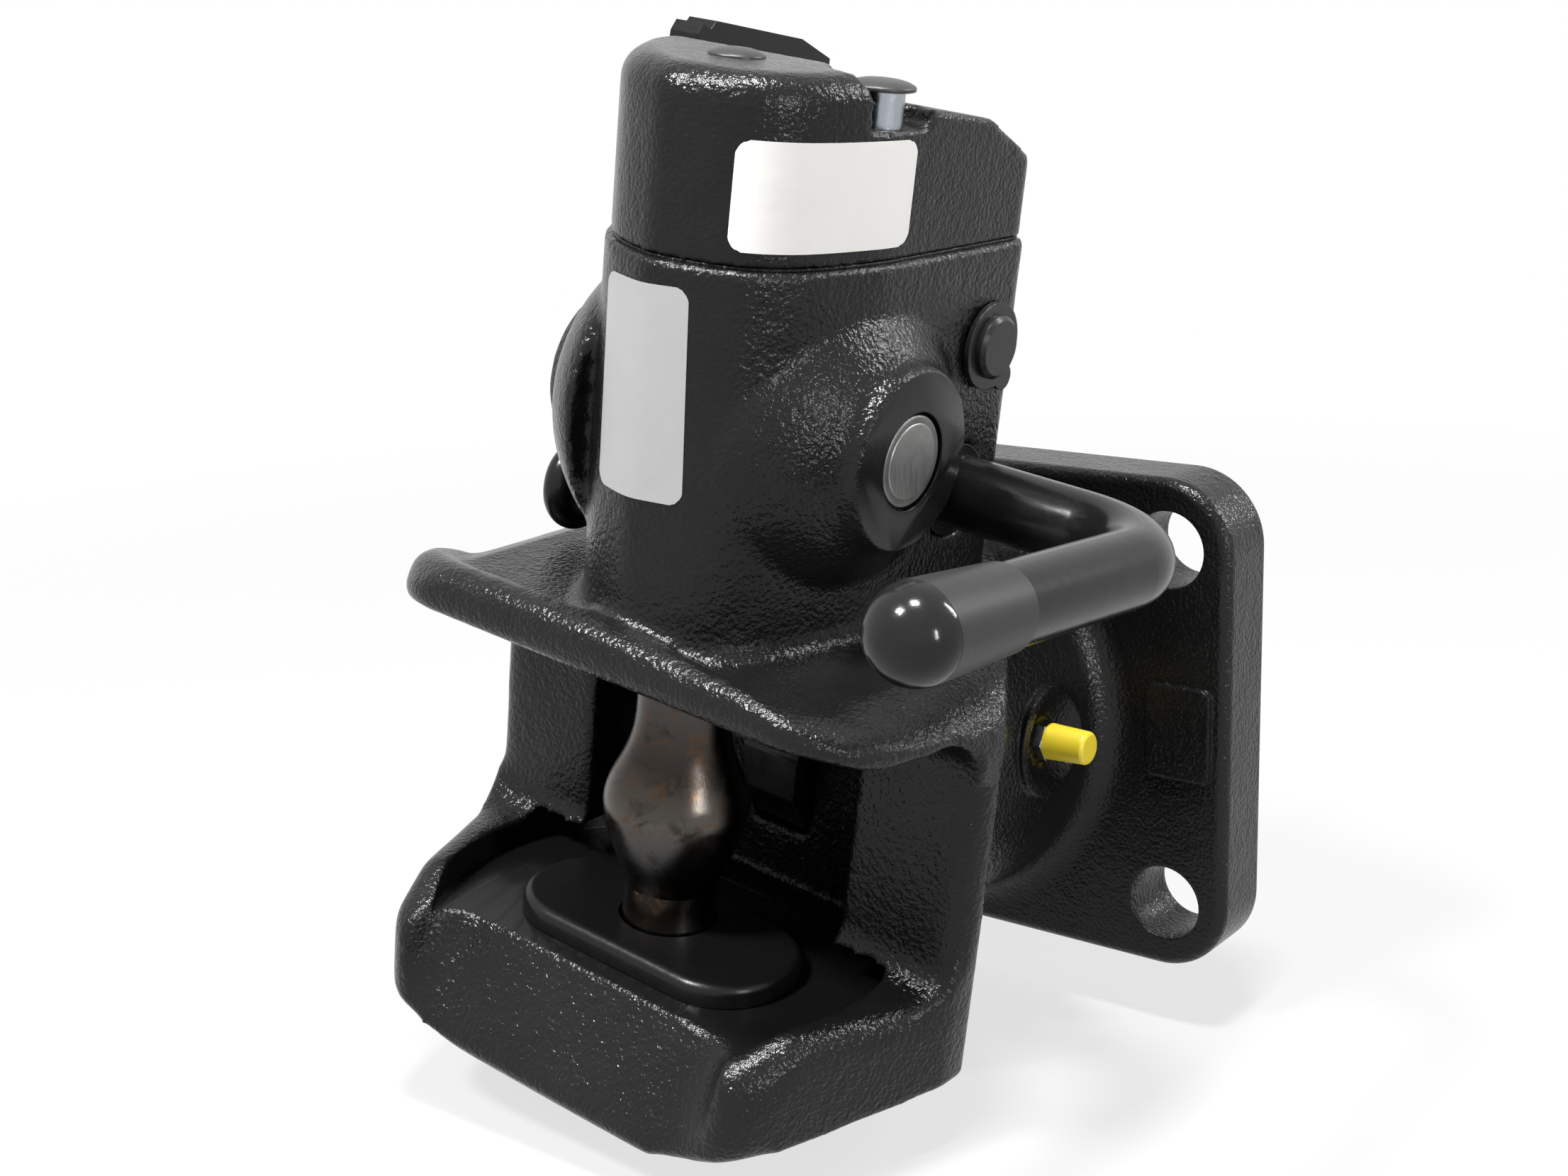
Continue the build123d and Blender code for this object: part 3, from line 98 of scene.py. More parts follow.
# Name, azimuth and elevation in degrees, width and height in metres, and power of each
# lamp; azimuth 0 is in front and 90 on the right
LAMPS = (
    ("front_lamp", -14.0, 54.0, (0.26, 0.20), 44.0),
    ("right_lamp", 76.0, 9.0, (0.07, 0.40), 8.0),
    ("rim_lamp", 138.0, 30.0, (0.10, 0.60), 14.0),
    ("top_lamp", 40.0, 76.0, (0.26, 0.20), 46.0),
)
LAMP_TARGET = Vector((0.0, -0.10, 0.05))
LAMP_DISTANCE = 1.5


def head_point(x, y, z):
    """A point of the head, given in millimetres as if the head stood upright."""
    return UPRIGHT @ Vector((x * MM, y * MM, z * MM))


def head_direction(x, y, z):
    """A direction of the head, given as if the head stood upright."""
    return (UPRIGHT.to_3x3() @ Vector((x, y, z))).normalized()


class CouplingFinishes(bpy.types.PropertyGroup):
    """Colours of the finishes."""

    cast_paint: bpy.props.FloatVectorProperty(
        name="Cast paint", description="Black paint on the rough castings",
        default=(0.0040, 0.0039, 0.0040), subtype="COLOR", min=0.0, max=1.0)
    smooth_paint: bpy.props.FloatVectorProperty(
        name="Smooth paint", description="Black paint on the lever, the hook and the arms",
        default=(0.0038, 0.0038, 0.0040), subtype="COLOR", min=0.0, max=1.0)
    bare_steel: bpy.props.FloatVectorProperty(
        name="Bare steel", description="Worn steel of the coupling pin",
        default=(0.30, 0.28, 0.26), subtype="COLOR", min=0.0, max=1.0)
    turned_steel: bpy.props.FloatVectorProperty(
        name="Turned steel", description="Turned ends, nut and washers",
        default=(0.30, 0.30, 0.295), subtype="COLOR", min=0.0, max=1.0)
    zinc: bpy.props.FloatVectorProperty(
        name="Zinc", description="Bright zinc plating of the indicator and the small screws",
        default=(0.34, 0.37, 0.40), subtype="COLOR", min=0.0, max=1.0)
    bronze: bpy.props.FloatVectorProperty(
        name="Bronze", description="Bearing bushes",
        default=(0.55, 0.36, 0.16), subtype="COLOR", min=0.0, max=1.0)
    yellow_cap: bpy.props.FloatVectorProperty(
        name="Yellow cap", description="Soft cap of the grease nipple",
        default=(0.62, 0.48, 0.025), subtype="COLOR", min=0.0, max=1.0)
    black_plastic: bpy.props.FloatVectorProperty(
        name="Black plastic", description="Grip cap and plug",
        default=(0.0060, 0.0060, 0.0063), subtype="COLOR", min=0.0, max=1.0)
    white_label: bpy.props.FloatVectorProperty(
        name="White label", description="Bare film on the cover",
        default=(0.60, 0.59, 0.57), subtype="COLOR", min=0.0, max=1.0)
    grey_label: bpy.props.FloatVectorProperty(
        name="Grey label", description="Bare silver-grey film on the nose",
        default=(0.29, 0.29, 0.295), subtype="COLOR", min=0.0, max=1.0)


class CouplingSizes(bpy.types.PropertyGroup):
    """Sizes of the surfaces and of the added pieces."""

    cast_cell: bpy.props.FloatProperty(
        name="Cast mesh cell", description="Cell of the castings' rounded surfaces",
        default=0.0011, min=0.0008, max=0.006, unit="LENGTH")
    cast_rounds: bpy.props.IntProperty(
        name="Cast rounding", description="Smoothing passes that round the castings' edges",
        default=9, min=0, max=60)
    rim_rounds: bpy.props.IntProperty(
        name="Rim rounding", description="More smoothing passes on the jaw's lip and rims",
        default=36, min=0, max=200)
    corner_rounds: bpy.props.IntProperty(
        name="Corner rounding",
        description="More smoothing passes on the right corner of the landing",
        default=140, min=0, max=400)
    label_thickness: bpy.props.FloatProperty(
        name="Label thickness", description="Thickness of both label films",
        default=0.00015, min=0.00005, max=0.001, unit="LENGTH")
    label_corner: bpy.props.FloatProperty(
        name="Label corner", description="Corner radius of both labels",
        default=0.0036, min=0.0005, max=0.01, unit="LENGTH")
    floor_radius: bpy.props.FloatProperty(
        name="Floor radius", description="Radius of the round studio floor",
        default=3.0, min=1.0, max=20.0, unit="LENGTH")


def deselect_all():
    """Leave edit mode and select nothing."""
    if bpy.context.object and bpy.context.object.mode != "OBJECT":
        bpy.ops.object.mode_set(mode="OBJECT")
    bpy.ops.object.select_all(action="DESELECT")


def make_active(piece):
    """Only this piece is selected, and it is the active one."""
    deselect_all()
    piece.select_set(True)
    bpy.context.view_layer.objects.active = piece


def new_piece(name):
    """Name the primitive that was just added, and return it."""
    piece = bpy.context.object
    piece.name = name
    piece.data.name = name
    return piece


def seat(piece, body, material):
    """Put the place into the mesh, hand over the material and ride on a body."""
    make_active(piece)
    bpy.ops.object.transform_apply(location=True, rotation=True, scale=True)
    piece.data.materials.clear()
    piece.data.materials.append(material)
    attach(piece, body)
    return piece


def apply_modifiers(piece):
    """Apply all modifiers of a piece, in their order."""
    make_active(piece)
    for modifier in list(piece.modifiers):
        bpy.ops.object.modifier_apply(modifier=modifier.name)


def merged_copy(node_name, name):
    """A copy of a CAD node's mesh with its loose triangles joined."""
    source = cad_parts[node_name]
    piece = bpy.data.objects.new(name, source.data.copy())
    piece.data.name = name
    bpy.context.scene.collection.objects.link(piece)
    make_active(piece)
    bpy.ops.object.mode_set(mode="EDIT")
    bpy.ops.mesh.select_all(action="SELECT")
    bpy.ops.mesh.remove_doubles(threshold=1e-6)
    bpy.ops.object.mode_set(mode="OBJECT")
    return piece


def turn_matrix(x_direction, normal):
    """Rotation whose X goes along x_direction and whose Z is the normal."""
    z = normal.normalized()
    x = (x_direction - z * x_direction.dot(z)).normalized()
    return Matrix((x, z.cross(x), z)).transposed()


def add_node(tree, kind, place, settings=(), **inputs):
    """Add a node at a place, with its settings and the values of its inputs."""
    node = tree.nodes.new(kind)
    node.location = place
    for key, value in dict(settings).items():
        setattr(node, key, value)
    for key, value in inputs.items():
        node.inputs[key.replace("_", " ")].default_value = value
    return node


def math_node(tree, operation, place, first, second):
    """A Math node; first and second are sockets or numbers."""
    node = add_node(tree, "ShaderNodeMath", place, {"operation": operation})
    for index, value in enumerate((first, second)):
        if isinstance(value, (int, float)):
            node.inputs[index].default_value = value
        else:
            tree.links.new(value, node.inputs[index])
    return node.outputs[0]


def ramp_node(tree, place, factor, stops):
    """A colour ramp between (position, grey or colour) stops."""
    node = add_node(tree, "ShaderNodeValToRGB", place)
    ramp = node.color_ramp
    while len(ramp.elements) < len(stops):
        ramp.elements.new(0.5)
    for element, (position, colour) in zip(ramp.elements, stops):
        element.position = position
        if isinstance(colour, (int, float)):
            colour = (colour,) * 3
        element.color = (*colour, 1.0)
    tree.links.new(factor, node.inputs["Fac"])
    return node.outputs["Color"]


def mix_colours(tree, place, factor, first, second):
    """Mix two colours, given as sockets or as values."""
    node = add_node(tree, "ShaderNodeMix", place, {"data_type": "RGBA"})
    sockets = (node.inputs[0], node.inputs[6], node.inputs[7])
    for socket, value in zip(sockets, (factor, first, second)):
        if isinstance(value, bpy.types.NodeSocket):
            tree.links.new(value, socket)
        elif isinstance(value, (int, float)):
            socket.default_value = value
        else:
            socket.default_value = (*value, 1.0)
    return node.outputs[2]


def new_group(name, inputs, outputs):
    """A shader node group with its sockets, its input node and its output node."""
    group = bpy.data.node_groups.new(name, "ShaderNodeTree")
    for label, kind, default in inputs:
        socket = group.interface.new_socket(label, in_out="INPUT", socket_type=kind)
        if default is not None:
            socket.default_value = default
    for label, kind in outputs:
        group.interface.new_socket(label, in_out="OUTPUT", socket_type=kind)
    start = add_node(group, "NodeGroupInput", (-1200, 0))
    end = add_node(group, "NodeGroupOutput", (600, 0))
    return group, start, end


def use_group(tree, name, place, **inputs):
    """Place a shared group in a material with its own values."""
    node = add_node(tree, "ShaderNodeGroup", place)
    node.node_tree = bpy.data.node_groups[name]
    for key, value in inputs.items():
        socket = node.inputs[key.replace("_", " ")]
        if isinstance(value, bpy.types.NodeSocket):
            tree.links.new(value, socket)
        else:
            socket.default_value = value
    return node


def new_material(name, colour, roughness, metallic=0.0, specular=0.5):
    """A Principled material, with its tree, its shader and its object coordinates."""
    material = bpy.data.materials.new(name)
    material.use_nodes = True
    tree = material.node_tree
    shader = tree.nodes["Principled BSDF"]
    shader.location = (300, 0)
    tree.nodes["Material Output"].location = (600, 0)
    shader.inputs["Base Color"].default_value = (*colour, 1.0)
    shader.inputs["Roughness"].default_value = roughness
    shader.inputs["Metallic"].default_value = metallic
    shader.inputs["Specular IOR Level"].default_value = specular
    material.diffuse_color = (*colour, 1.0)
    coordinates = add_node(tree, "ShaderNodeTexCoord", (-1400, 0))
    return material, tree, shader, coordinates.outputs["Object"]


def scaled(colour, factor):
    """A lighter or darker shade of a colour."""
    return [part * factor for part in colour]


def wear_edges(tree, edges, amount, paint, metal):
    """Show the metal where the edges are worn."""
    mask = math_node(tree, "MULTIPLY", (-400, -50), edges.outputs["Worn"], amount)
    return mix_colours(tree, (-200, 150), mask, paint, metal)


def noise_node(tree, place, vector, **inputs):
    """A noise texture over a vector."""
    node = add_node(tree, "ShaderNodeTexNoise", place, **inputs)
    tree.links.new(vector, node.inputs["Vector"])
    return node


def add_dirt(tree, place, colour, size, amount, factor):
    """Fine dirt for a material, and its colour with lighter or darker dirt on it."""
    dirt = use_group(tree, "fine_dirt", (-900, 200), Vector=place, Size=size, Amount=amount)
    return dirt, mix_colours(
        tree, (-500, 200), dirt.outputs["Dirt"], colour, scaled(colour, factor))


def set_gloss(tree, shader, mask, stops):
    """Let a mask set the shader's roughness through (position, roughness) stops."""
    tree.links.new(ramp_node(tree, (-500, -50), mask, stops), shader.inputs["Roughness"])


def seen_directly(tree, place):
    """1 for rays from the camera, from gloss and through glass, 0 for rays that carry light."""
    x, y = place
    rays = add_node(tree, "ShaderNodeLightPath", place).outputs
    seen = math_node(tree, "MAXIMUM", (x + 300, y), rays["Is Camera Ray"], rays["Is Glossy Ray"])
    return math_node(tree, "MAXIMUM", (x + 450, y), seen, rays["Is Transmission Ray"])


def add_bump(tree, shader, height, distance, strength=1.0, normal=None):
    """A Bump node that feeds the shader's normal."""
    bump = add_node(tree, "ShaderNodeBump", (60, -300), Distance=distance, Strength=strength)
    tree.links.new(height, bump.inputs["Height"])
    if normal is not None:
        tree.links.new(normal, bump.inputs["Normal"])
    tree.links.new(bump.outputs["Normal"], shader.inputs["Normal"])


def make_groups():
    """Shared effects: the cast skin, rounded and worn edges, turning marks, fine dirt."""
    group, start, end = new_group(
        "cast_skin",
        [("Vector", "NodeSocketVector", None), ("Grain", "NodeSocketFloat", 900.0)],
        [("Height", "NodeSocketFloat"), ("Mottle", "NodeSocketFloat")])
    fine = add_node(group, "ShaderNodeTexNoise", (-800, 200), Detail=2.0, Roughness=0.45)
    third = math_node(group, "MULTIPLY", (-1000, -100), start.outputs["Grain"], 0.37)
    coarse = add_node(group, "ShaderNodeTexNoise", (-800, -50), Detail=1.0, Roughness=0.5)
    tenth = math_node(group, "MULTIPLY", (-1000, -300), start.outputs["Grain"], 0.07)
    wide = add_node(group, "ShaderNodeTexNoise", (-800, -300), Detail=2.0, Roughness=0.5)
    for node, scale in ((fine, start.outputs["Grain"]), (coarse, third), (wide, tenth)):
        group.links.new(start.outputs["Vector"], node.inputs["Vector"])
        group.links.new(scale, node.inputs["Scale"])
    lumps = math_node(group, "MULTIPLY", (-500, 0), coarse.outputs["Fac"], 0.6)
    height = math_node(group, "ADD", (-300, 100), fine.outputs["Fac"], lumps)
    slow = math_node(group, "MULTIPLY", (-500, -250), wide.outputs["Fac"], 0.7)
    total = math_node(group, "ADD", (100, 50), height, slow)
    group.links.new(total, end.inputs["Height"])
    group.links.new(wide.outputs["Fac"], end.inputs["Mottle"])

    group, start, end = new_group(
        "round_edges",
        [("Radius", "NodeSocketFloat", 0.0006), ("Breaks", "NodeSocketFloat", 350.0),
         ("Vector", "NodeSocketVector", None)],
        [("Normal", "NodeSocketVector"), ("Worn", "NodeSocketFloat")])
    bevel = add_node(group, "ShaderNodeBevel", (-800, 100), {"samples": 4})
    group.links.new(start.outputs["Radius"], bevel.inputs["Radius"])
    flat = add_node(group, "ShaderNodeNewGeometry", (-800, -150))
    facing = add_node(group, "ShaderNodeVectorMath", (-600, 0), {"operation": "DOT_PRODUCT"})
    group.links.new(bevel.outputs["Normal"], facing.inputs[0])
    group.links.new(flat.outputs["Normal"], facing.inputs[1])
    bent = math_node(group, "SUBTRACT", (-400, 0), 1.0, facing.outputs["Value"])
    breaks = noise_node(
        group, (-600, -350), start.outputs["Vector"], Detail=4.0, Roughness=0.65)
    group.links.new(start.outputs["Breaks"], breaks.inputs["Scale"])
    speckle = math_node(group, "SUBTRACT", (-400, -300), breaks.outputs["Fac"], 0.52)
    patches = math_node(group, "MULTIPLY", (-200, -250), speckle, 9.0)
    worn = math_node(group, "MULTIPLY", (0, -50), bent, patches)
    clamp = add_node(group, "ShaderNodeClamp", (200, -50))
    group.links.new(worn, clamp.inputs["Value"])
    group.links.new(bevel.outputs["Normal"], end.inputs["Normal"])
    group.links.new(clamp.outputs["Result"], end.inputs["Worn"])

    group, start, end = new_group(
        "turning_marks",
        [("Vector", "NodeSocketVector", None), ("Rings", "NodeSocketFloat", 900.0)],
        [("Height", "NodeSocketFloat"), ("Tone", "NodeSocketFloat")])
    apart = add_node(group, "ShaderNodeSeparateXYZ", (-1000, 0))
    group.links.new(start.outputs["Vector"], apart.inputs[0])
    squares = [
        math_node(group, "MULTIPLY", (-800, 150 * i), apart.outputs[i], apart.outputs[i])
        for i in (0, 1)]
    total = math_node(group, "ADD", (-600, 0), *squares)
    radius = math_node(group, "SQRT", (-400, 0), total, 0.0)
    joined = add_node(group, "ShaderNodeCombineXYZ", (-200, 0))
    group.links.new(math_node(group, "MULTIPLY", (-300, 150), radius, 40.0), joined.inputs[0])
    group.links.new(apart.outputs[2], joined.inputs[2])
    rings = noise_node(group, (0, 0), joined.outputs[0], Detail=3.0, Roughness=0.7)
    group.links.new(start.outputs["Rings"], rings.inputs["Scale"])
    broad = noise_node(group, (0, -250), start.outputs["Vector"], Scale=90.0, Detail=2.0)
    group.links.new(rings.outputs["Fac"], end.inputs["Height"])
    group.links.new(broad.outputs["Fac"], end.inputs["Tone"])

    group, start, end = new_group(
        "fine_dirt",
        [("Vector", "NodeSocketVector", None), ("Size", "NodeSocketFloat", 60.0),
         ("Amount", "NodeSocketFloat", 0.4)],
        [("Dirt", "NodeSocketFloat"), ("Scratches", "NodeSocketFloat")])
    clouds = noise_node(
        group, (-800, 100), start.outputs["Vector"], Detail=6.0, Roughness=0.62, Distortion=0.6)
    group.links.new(start.outputs["Size"], clouds.inputs["Scale"])
    lifted = math_node(group, "SUBTRACT", (-500, 100), clouds.outputs["Fac"], 0.42)
    steep = math_node(group, "MULTIPLY", (-400, 0), lifted, 4.0)
    spread = math_node(group, "MULTIPLY", (-300, 100), steep, start.outputs["Amount"])
    clamp = add_node(group, "ShaderNodeClamp", (-100, 100))
    group.links.new(spread, clamp.inputs["Value"])
    stretched = add_node(
        group, "ShaderNodeMapping", (-1000, -300), Scale=(1.0, 6.0, 0.35), Rotation=(0.4, 0.7, 0.2))
    group.links.new(start.outputs["Vector"], stretched.inputs["Vector"])
    lines = noise_node(
        group, (-800, -300), stretched.outputs[0], Scale=420.0, Detail=5.0, Roughness=0.75)
    group.links.new(clamp.outputs["Result"], end.inputs["Dirt"])
    group.links.new(lines.outputs["Fac"], end.inputs["Scratches"])


def cast_material(name, colour, grain, depth, edge):
    """Semi-gloss black paint over a rough casting, thin at the edges."""
    material, tree, shader, place = new_material(name, colour, 0.24, specular=0.23)
    skin = use_group(tree, "cast_skin", (-900, -200), Vector=place, Grain=grain)
    edges = use_group(tree, "round_edges", (-900, -500), Radius=edge, Vector=place)
    tone = add_dirt(tree, place, colour, 45.0, 0.35, 1.9)[1]
    worn = wear_edges(tree, edges, 0.5, tone, (0.075, 0.07, 0.065))
    tree.links.new(worn, shader.inputs["Base Color"])
    set_gloss(tree, shader, skin.outputs["Mottle"], [(0.3, 0.17), (0.7, 0.25)])
    add_bump(tree, shader, skin.outputs["Height"], depth, 1.0, edges.outputs["Normal"])
    return material


def flange_material(name, colour):
    """The flange's paint, with grease round the nipple."""
    material = cast_material(name, colour, 1000.0, 0.00034, 0.0012)
    tree = material.node_tree
    shader = tree.nodes["Principled BSDF"]
    low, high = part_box("grease_nipple")
    middle = [(a + b) / 2 for a, b in zip(low, high)]
    coordinates = add_node(tree, "ShaderNodeTexCoord", (-1400, 700))
    away = add_node(tree, "ShaderNodeVectorMath", (-1100, 700), {"operation": "DISTANCE"})
    away.inputs[1].default_value = middle
    tree.links.new(coordinates.outputs["Object"], away.inputs[0])
    near = add_node(
        tree, "ShaderNodeMapRange", (-900, 700),
        From_Min=0.006, From_Max=0.017, To_Min=0.62, To_Max=0.0)
    tree.links.new(away.outputs["Value"], near.inputs["Value"])
    smears = noise_node(
        tree, (-1100, 950), coordinates.outputs["Object"], Scale=170.0, Detail=5.0, Roughness=0.6)
    both = math_node(tree, "MULTIPLY", (-700, 800), near.outputs[0], smears.outputs["Fac"])
    mask = ramp_node(tree, (-500, 800), both, [(0.24, 0.0), (0.34, 0.85)])
    paint = shader.inputs["Base Color"].links[0].from_socket
    greasy = mix_colours(tree, (0, 400), mask, paint, (0.085, 0.070, 0.008))
    tree.links.new(greasy, shader.inputs["Base Color"])
    return material


def painted_material(
        name, colour, roughness, ripple=0.00004, wear=0.6, metal=(0.12, 0.11, 0.10)):
    """Smooth black paint with a faint ripple and small scuffs, worn to the metal at the edges."""
    material, tree, shader, place = new_material(name, colour, roughness, specular=0.24)
    edges = use_group(tree, "round_edges", (-900, -500), Radius=0.0005, Vector=place)
    dirt, tone = add_dirt(tree, place, colour, 70.0, 0.3, 1.6)
    ripples = noise_node(tree, (-900, -200), place, Scale=260.0, Detail=2.0)
    tree.links.new(wear_edges(tree, edges, wear, tone, metal), shader.inputs["Base Color"])
    set_gloss(
        tree, shader, dirt.outputs["Scratches"], [(0.35, roughness - 0.04), (0.7, roughness + 0.07)])
    add_bump(tree, shader, ripples.outputs["Fac"], ripple, 1.0, edges.outputs["Normal"])
    return material


def steel_material(name, colour, roughness, stain=0.3):
    """Turned steel with rings, light stains and softened edges."""
    material, tree, shader, place = new_material(name, colour, roughness, metallic=1.0)
    mapping = add_node(tree, "ShaderNodeMapping", (-1150, -100), Rotation=(0.0, HEAD_TURN, 0.0))
    tree.links.new(place, mapping.inputs["Vector"])
    marks = use_group(tree, "turning_marks", (-900, -200), Vector=mapping.outputs[0], Rings=900.0)
    edges = use_group(tree, "round_edges", (-900, -500), Radius=0.0004, Vector=place)
    dirt, tone = add_dirt(tree, place, colour, 110.0, stain, 0.45)
    rubbed = [min(part, 0.95) for part in scaled(colour, 1.6)]
    tree.links.new(wear_edges(tree, edges, 0.7, tone, rubbed), shader.inputs["Base Color"])
    set_gloss(
        tree, shader, dirt.outputs["Scratches"], [(0.3, roughness - 0.1), (0.75, roughness + 0.12)])
    add_bump(tree, shader, marks.outputs["Height"], 0.00004, 0.6, edges.outputs["Normal"])
    return material


def pin_material(name, colour):
    """The coupling pin: worn bright steel with heat tints, smears and a dark lower band; the bright
    band round the bulge's middle is partly worn steel and partly a painted highlight.
    """
    material, tree, shader, place = new_material(name, colour, 0.3, metallic=1.0)
    mapping = add_node(tree, "ShaderNodeMapping", (-1200, 0), Rotation=(0.0, -HEAD_TURN, 0.0))
    tree.links.new(place, mapping.inputs["Vector"])
    apart = add_node(tree, "ShaderNodeSeparateXYZ", (-1000, 300))
    tree.links.new(mapping.outputs[0], apart.inputs[0])
    clouds = noise_node(
        tree, (-1000, 50), mapping.outputs[0],
        Scale=130.0, Detail=7.0, Roughness=0.68, Distortion=0.5)
    wave = math_node(tree, "MULTIPLY", (-800, 150), clouds.outputs["Fac"], 0.012)
    level = math_node(tree, "ADD", (-700, 300), apart.outputs["Z"], wave)
    along = add_node(tree, "ShaderNodeMapRange", (-500, 350), From_Min=-0.052, From_Max=0.048)
    tree.links.new(level, along.inputs["Value"])
    # Tone in bands by height: the bright band round the bulge's middle is partly worn steel and partly
    # a painted highlight
    tone_and_highlight_bands = ramp_node(tree, (-300, 350), along.outputs[0], [
        (0.10, (0.05, 0.046, 0.043)), (0.24, (0.09, 0.085, 0.08)), (0.29, (0.018, 0.015, 0.013)),
        (0.39, (0.02, 0.018, 0.017)), (0.45, (0.048, 0.048, 0.050)), (0.57, (0.085, 0.077, 0.068)),
        (0.70, (0.036, 0.030, 0.026)), (0.86, (0.06, 0.054, 0.05))])
    rust = noise_node(
        tree, (-1000, -200), mapping.outputs[0],
        Scale=210.0, Detail=8.0, Roughness=0.7, Distortion=0.8)
    rust_mask = ramp_node(tree, (-700, -200), rust.outputs["Fac"], [(0.52, 0.0), (0.66, 0.75)])
    tinted = mix_colours(tree, (-100, 250), rust_mask, tone_and_highlight_bands, (0.085, 0.045, 0.020))
    smear = ramp_node(tree, (-700, -450), clouds.outputs["Fac"], [(0.54, 0.0), (0.70, 0.8)])
    smeared = mix_colours(tree, (80, 200), smear, tinted, (0.022, 0.019, 0.017))
    tree.links.new(smeared, shader.inputs["Base Color"])
    set_gloss(tree, shader, clouds.outputs["Fac"], [(0.35, 0.17), (0.55, 0.26), (0.75, 0.42)])
    marks = use_group(tree, "fine_dirt", (-700, -700), Vector=mapping.outputs[0], Size=150.0)
    both = math_node(tree, "ADD", (-300, -650), marks.outputs["Scratches"], rust.outputs["Fac"])
    add_bump(tree, shader, both, 0.00004, 0.7)
    return material


def plastic_material(name, colour, roughness, specular=0.5):
    """Moulded plastic with a fine pebble and small scuffs."""
    material, tree, shader, place = new_material(name, colour, roughness, specular=specular)
    dirt, tone = add_dirt(tree, place, colour, 120.0, 0.25, 0.8)
    tree.links.new(tone, shader.inputs["Base Color"])
    set_gloss(tree, shader, dirt.outputs["Scratches"], [(0.35, roughness), (0.75, roughness + 0.12)])
    pebble = noise_node(tree, (-900, -200), place, Scale=900.0, Detail=2.0)
    add_bump(tree, shader, pebble.outputs["Fac"], 0.00003, 0.6)
    return material


def grip_material(name, colour):
    """The lever's end: a polished ball on a satin sleeve."""
    material, tree, shader, place = new_material(name, colour, 0.3, specular=0.26)
    dirt = use_group(tree, "fine_dirt", (-900, 200), Vector=place, Size=120.0, Amount=0.25)
    apart = add_node(tree, "ShaderNodeSeparateXYZ", (-1100, -300))
    tree.links.new(place, apart.inputs[0])
    sleeve = add_node(tree, "ShaderNodeMapRange", (-900, -300), From_Min=-0.1816, From_Max=-0.1812)
    tree.links.new(apart.outputs["Y"], sleeve.inputs["Value"])
    tone = mix_colours(tree, (-500, 200), sleeve.outputs[0], colour, scaled(colour, 1.8))
    dusty = mix_colours(tree, (-300, 150), dirt.outputs["Dirt"], tone, scaled(colour, 2.4))
    tree.links.new(dusty, shader.inputs["Base Color"])
    satin = math_node(tree, "MULTIPLY", (-600, -300), sleeve.outputs[0], 0.26)
    scuffs = math_node(tree, "MULTIPLY", (-600, -100), dirt.outputs["Scratches"], 0.12)
    uneven = math_node(tree, "ADD", (-500, -300), satin, scuffs)
    rough = math_node(tree, "ADD", (-400, -200), uneven, 0.09)
    tree.links.new(rough, shader.inputs["Roughness"])
    pebble = noise_node(tree, (-900, -600), place, Scale=900.0, Detail=2.0)
    fine = math_node(tree, "MULTIPLY", (-500, -500), pebble.outputs["Fac"], 0.25)
    height = math_node(tree, "ADD", (-300, -400), sleeve.outputs[0], fine)
    add_bump(tree, shader, height, 0.00012, 0.8)
    return material


def film_material(name, colour, roughness, metallic=0.0):
    """Label film that follows the casting under it a little."""
    material, tree, shader, place = new_material(name, colour, roughness, metallic=metallic)
    skin = use_group(tree, "cast_skin", (-900, -200), Vector=place, Grain=330.0)
    dirt, tone = add_dirt(tree, place, colour, 60.0, 0.25, 0.86)
    tree.links.new(tone, shader.inputs["Base Color"])
    set_gloss(tree, shader, dirt.outputs["Scratches"], [(0.35, roughness), (0.75, roughness + 0.1)])
    add_bump(tree, shader, skin.outputs["Height"], 0.00006, 0.6)
    return material


NODE_FINISHES = {
    "cast": ("head_casting",),
    "flange": ("flange_plate",),
    "cover": ("tower_cover", "cover_gasket"),
    "pin": ("coupling_pin",),
    "turned": ("cross_pins", "guide_sleeve", "lower_bush", "lift_arm", "catch_pawl", "trigger_pin",
               "thrust_washer", "nut_washer", "castle_nut", "closing_spring"),
    "paint": ("hand_lever", "pull_hook", "release_arm", "trigger_lever", "lever_bushes"),
    "plate": ("wear_plate",),
    "oiled": ("catch_shaft",),
    "ring": ("retaining_ring",),
    "zinc": ("indicator_pin", "cover_screws", "split_pin", "grease_nipple"),
    "bronze": ("swivel_bushes",),
    "yellow": ("nipple_cap",),
    "plastic": ("grip_cap",),
    "plug": ("top_plug", "indicator_cap"),
}


